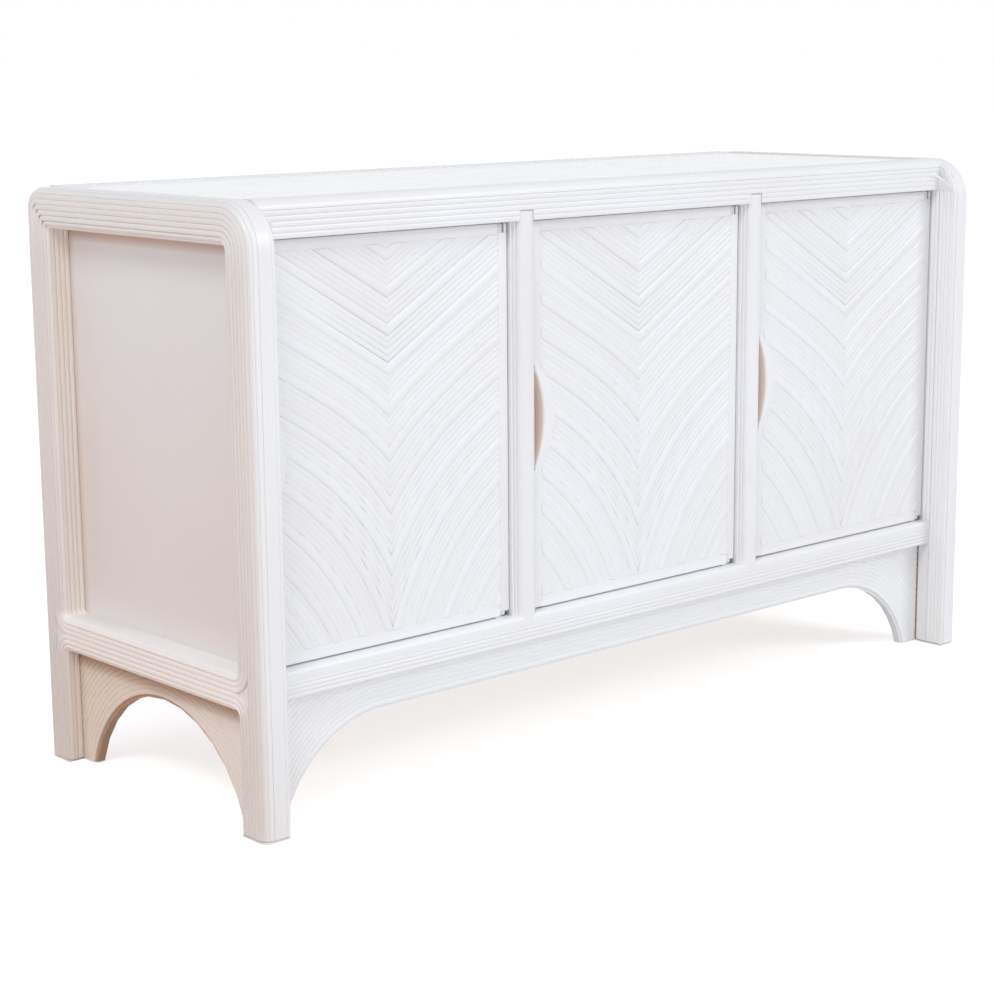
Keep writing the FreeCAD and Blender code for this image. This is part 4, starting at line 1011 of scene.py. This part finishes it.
def dress_hinges():
    frame_side = bmesh.new()
    for name, cx in DOORS:
        right = cx + DOOR_HALF
        px = right - PIN_INSET
        leaves = bmesh.new()
        for end, knuckle, rail, inward in HINGES:
            seat = end + inward * knuckle
            z0, z1 = sorted((seat, seat - inward * LEAF))
            soft_block(leaves, (right - 19.8, SLAB_FRONT + 0.2, z0), (right - 0.5, DOOR_FRONT + 16.5, z1), 0.5)
            z0, z1 = sorted((seat, end + inward * 0.5))
            bore = PIN_R + 0.05
            turned(leaves, (px, PIN_Y), [
                (bore, z0), (KNUCKLE_R - 0.5, z0), (KNUCKLE_R, z0 + 0.5), (KNUCKLE_R, z1 - 0.5),
                (KNUCKLE_R - 0.5, z1), (bore, z1), (bore, z0)])
            for x in (right - 16, right - 5):
                screw_head(leaves, x, DOOR_FRONT + 13, seat - inward * LEAF, -inward)
            z0, z1 = sorted((rail, rail + inward * 1.5))
            soft_block(frame_side, (px - 14, DOOR_FRONT + 1, z0), (right + 1, DOOR_FRONT + 17, z1), 0.4)
            root, tip = rail + inward, seat - inward * 0.6
            turned(frame_side, (px, PIN_Y), [
                (0, root), (PIN_R, root), (PIN_R, tip - inward * 0.5), (PIN_R - 0.5, tip), (0, tip)])
        body = "door_" + name
        finish_piece(body + "_hinge_fittings", leaves, "white_metal", body + "_hinge_leaves", body, 35)
    finish_piece("hinge_plates_and_pins", frame_side, "steel", "hinge_frame_plates", sharp=35)


def dress_catches():
    holders, poles = bmesh.new(), bmesh.new()
    for name, cx in DOORS:
        left = cx - DOOR_HALF
        face = SLAB_BACK + 1.2
        low, high = (left + 12, face + 0.8, TOP_RAIL - 14), (left + 42, RAIL_BACK - 2, TOP_RAIL)
        soft_block(holders, low, high, 1.6, 3)
        for z in (TOP_RAIL - 10.5, TOP_RAIL - 5.0):
            soft_block(poles, (left + 16, face, z), (left + 38, face + 6, z + 1.6), 0.4)
        strike = bmesh.new()
        low, high = (left + 12, SLAB_BACK, DOOR_TOP - 16), (left + 42, SLAB_BACK + 1, DOOR_TOP - 2)
        soft_block(strike, low, high, 3.0, 4, lambda e: abs(e.verts[0].co.y - e.verts[1].co.y) > 0.5)
        body = "door_" + name
        finish_piece(body + "_strike_plate", strike, "steel", body + "_strike", body, 35)
    finish_piece("catch_holders", holders, "catch_plastic", "door_catches", sharp=35)
    finish_piece("catch_pole_plates", poles, "steel", None, sharp=35)


def stands(edge):
    """True for an upright edge at an outer corner of the cabinet."""
    one, two = (vert.co for vert in edge.verts)
    return abs(one.z - two.z) > 0.5 and abs(one.x) > HALF_W - 8 and abs(one.y) > HALF_D - 8


def dress_feet():
    """Under each foot a rounded cap and the smaller plate that it hangs on."""
    caps = bmesh.new()
    for sx in (-1, 1):
        for sy in (-1, 1):
            for inset, low, high, corner, rim in ((0.8, 0.0, 2.7, 12.0, 0.8), (3.5, 2.6, FOOT, 10.0, 0.1)):
                x0, x1 = sorted((sx * (INNER_X + inset), sx * (HALF_W - inset)))
                y0, y1 = sorted((sy * (HALF_D - POST_DEPTH + inset), sy * (HALF_D - inset)))
                cap = bmesh.new()
                soft_block(cap, (x0, y0, low), (x1, y1, high), corner, 6, stands)
                rims = [e for e in cap.edges if abs(e.verts[0].co.z - e.verts[1].co.z) < 1e-4]
                round_off(cap, rims, rim, 2)
                add_mesh(caps, cap)
    finish_piece("foot_caps", caps, "foot_plastic", "foot_pads")


dress_hinges()
dress_catches()
dress_feet()


# ---------------- finishes of the CAD nodes that show as they are
for cad_name, cad_slot in SLOT_OF.items():
    # the end aprons' boards get the bare edge, partly painted shade under the arches
    bare_and_shaded = cad_name in ("left_end_apron", "right_end_apron")
    cad_materials = frame["nodes"][cad_name].data.materials
    cad_materials.clear()
    cad_materials.append(MAT["bare_edge_and_painted_shade"] if bare_and_shaded else MAT.get(cad_slot, MAT["reed"]))


# ---------------- floor, light, camera
def stage_floor():
    """A pale floor. Light from it is brown near the left end, and it shows white to the camera."""
    floor_bm = bmesh.new()
    bmesh.ops.create_grid(floor_bm, x_segments=1, y_segments=1, size=30.0)
    floor = place_object("floor", floor_bm)
    mat, sockets, place = start_material("pale_floor", 0.9, specular=0.0)
    tree = mat.node_tree
    path = node(tree, "ShaderNodeLightPath").outputs
    shift = node(tree, "ShaderNodeMapping")
    feed(shift.inputs["Location"], (1.25, -0.20, 0))
    feed(shift.inputs["Vector"], place)
    reach = node(tree, "ShaderNodeVectorMath", operation="LENGTH")
    feed(reach.inputs[0], shift.outputs[0])
    away = spread(reach.outputs["Value"], 0.35, 0.90)
    thrown = blend_colours(away, (0.50, 0.25, 0.12), (0.87, 0.86, 0.86))
    feed(sockets["Base Color"], blend_colours(path["Is Camera Ray"], thrown, (0.92, 0.92, 0.92)))
    seen = maths("MAXIMUM", path["Is Camera Ray"], path["Is Glossy Ray"])
    glow = node(tree, "ShaderNodeEmission")
    feed(glow.inputs["Strength"], times(seen, 0.60))
    both = node(tree, "ShaderNodeAddShader")
    feed(both.inputs[0], tree.nodes["Principled BSDF"].outputs[0])
    feed(both.inputs[1], glow.outputs[0])
    feed(tree.nodes["Material Output"].inputs["Surface"], both.outputs[0])
    floor.data.materials.append(mat)


def soft_lamp(name, place, target, size, power, colour):
    data = bpy.data.lights.new(name, "AREA")
    data.shape = "SQUARE"
    data.size = size
    data.energy = power
    data.color = colour
    lamp = place_object(name, data)
    lamp.location = place
    lamp.rotation_euler = (Vector(target) - Vector(place)).to_track_quat("-Z", "Y").to_euler()


def light_room():
    """A dim cool room that looks white where it is seen or mirrored, and four soft lamps."""
    world = bpy.data.worlds.new("studio")
    SCENE.world = world
    world.use_nodes = True
    tree = world.node_tree
    dim = tree.nodes["Background"]
    feed(dim.inputs["Color"], (0.93, 0.95, 1.0))
    feed(dim.inputs["Strength"], 0.54)
    white = node(tree, "ShaderNodeBackground")
    feed(white.inputs["Color"], (1, 1, 1))
    path = node(tree, "ShaderNodeLightPath").outputs
    mirrored = maths("MAXIMUM", path["Is Glossy Ray"], path["Is Transmission Ray"])
    mix = node(tree, "ShaderNodeMixShader")
    feed(mix.inputs[0], maths("MAXIMUM", path["Is Camera Ray"], mirrored))
    feed(mix.inputs[1], dim.outputs[0])
    feed(mix.inputs[2], white.outputs[0])
    feed(tree.nodes["World Output"].inputs["Surface"], mix.outputs[0])
    soft_lamp("window", (3.2, -5.3, 3.4), (0, 0, 0.4), 2.4, 124, (0.96, 0.98, 1.0))
    soft_lamp("left fill", (-3.5, -2.2, 4.6), (0, 0, 0.4), 1.8, 92, (0.98, 0.99, 1.0))
    soft_lamp("low fill", (-1.4, -3.6, 0.5), (-0.3, 0, 0.2), 1.2, 8, (0.97, 0.98, 1.0))
    soft_lamp("bounce", (-2.4, 0.1, 0.12), (-0.7, 0, 0.1), 0.8, 6, (1.0, 0.66, 0.44))


def place_camera(place, yaw, pitch, roll, lens):
    """A camera turned by yaw from +Y towards +X, then by pitch and roll, in degrees."""
    yaw, pitch, roll = radians(yaw), radians(pitch), radians(roll)
    ahead = Vector((sin(yaw) * cos(pitch), cos(yaw) * cos(pitch), sin(pitch)))
    flat = Vector((cos(yaw), -sin(yaw), 0))
    lift = flat.cross(ahead)
    right = flat * cos(roll) + lift * sin(roll)
    up = lift * cos(roll) - flat * sin(roll)
    data = bpy.data.cameras.new("camera")
    data.sensor_fit = "HORIZONTAL"
    data.sensor_width = 36.0
    data.lens = lens
    camera = place_object("camera", data)
    camera.matrix_world = Matrix([(right[i], up[i], -ahead[i], place[i]) for i in range(3)] + [(0, 0, 0, 1)])
    SCENE.camera = camera


stage_floor()
light_room()
place_camera((-2.2193, -2.3707, 0.9538), 42.002, -11.303, -0.454, 80.29)
SCENE.view_settings.view_transform = "Standard"
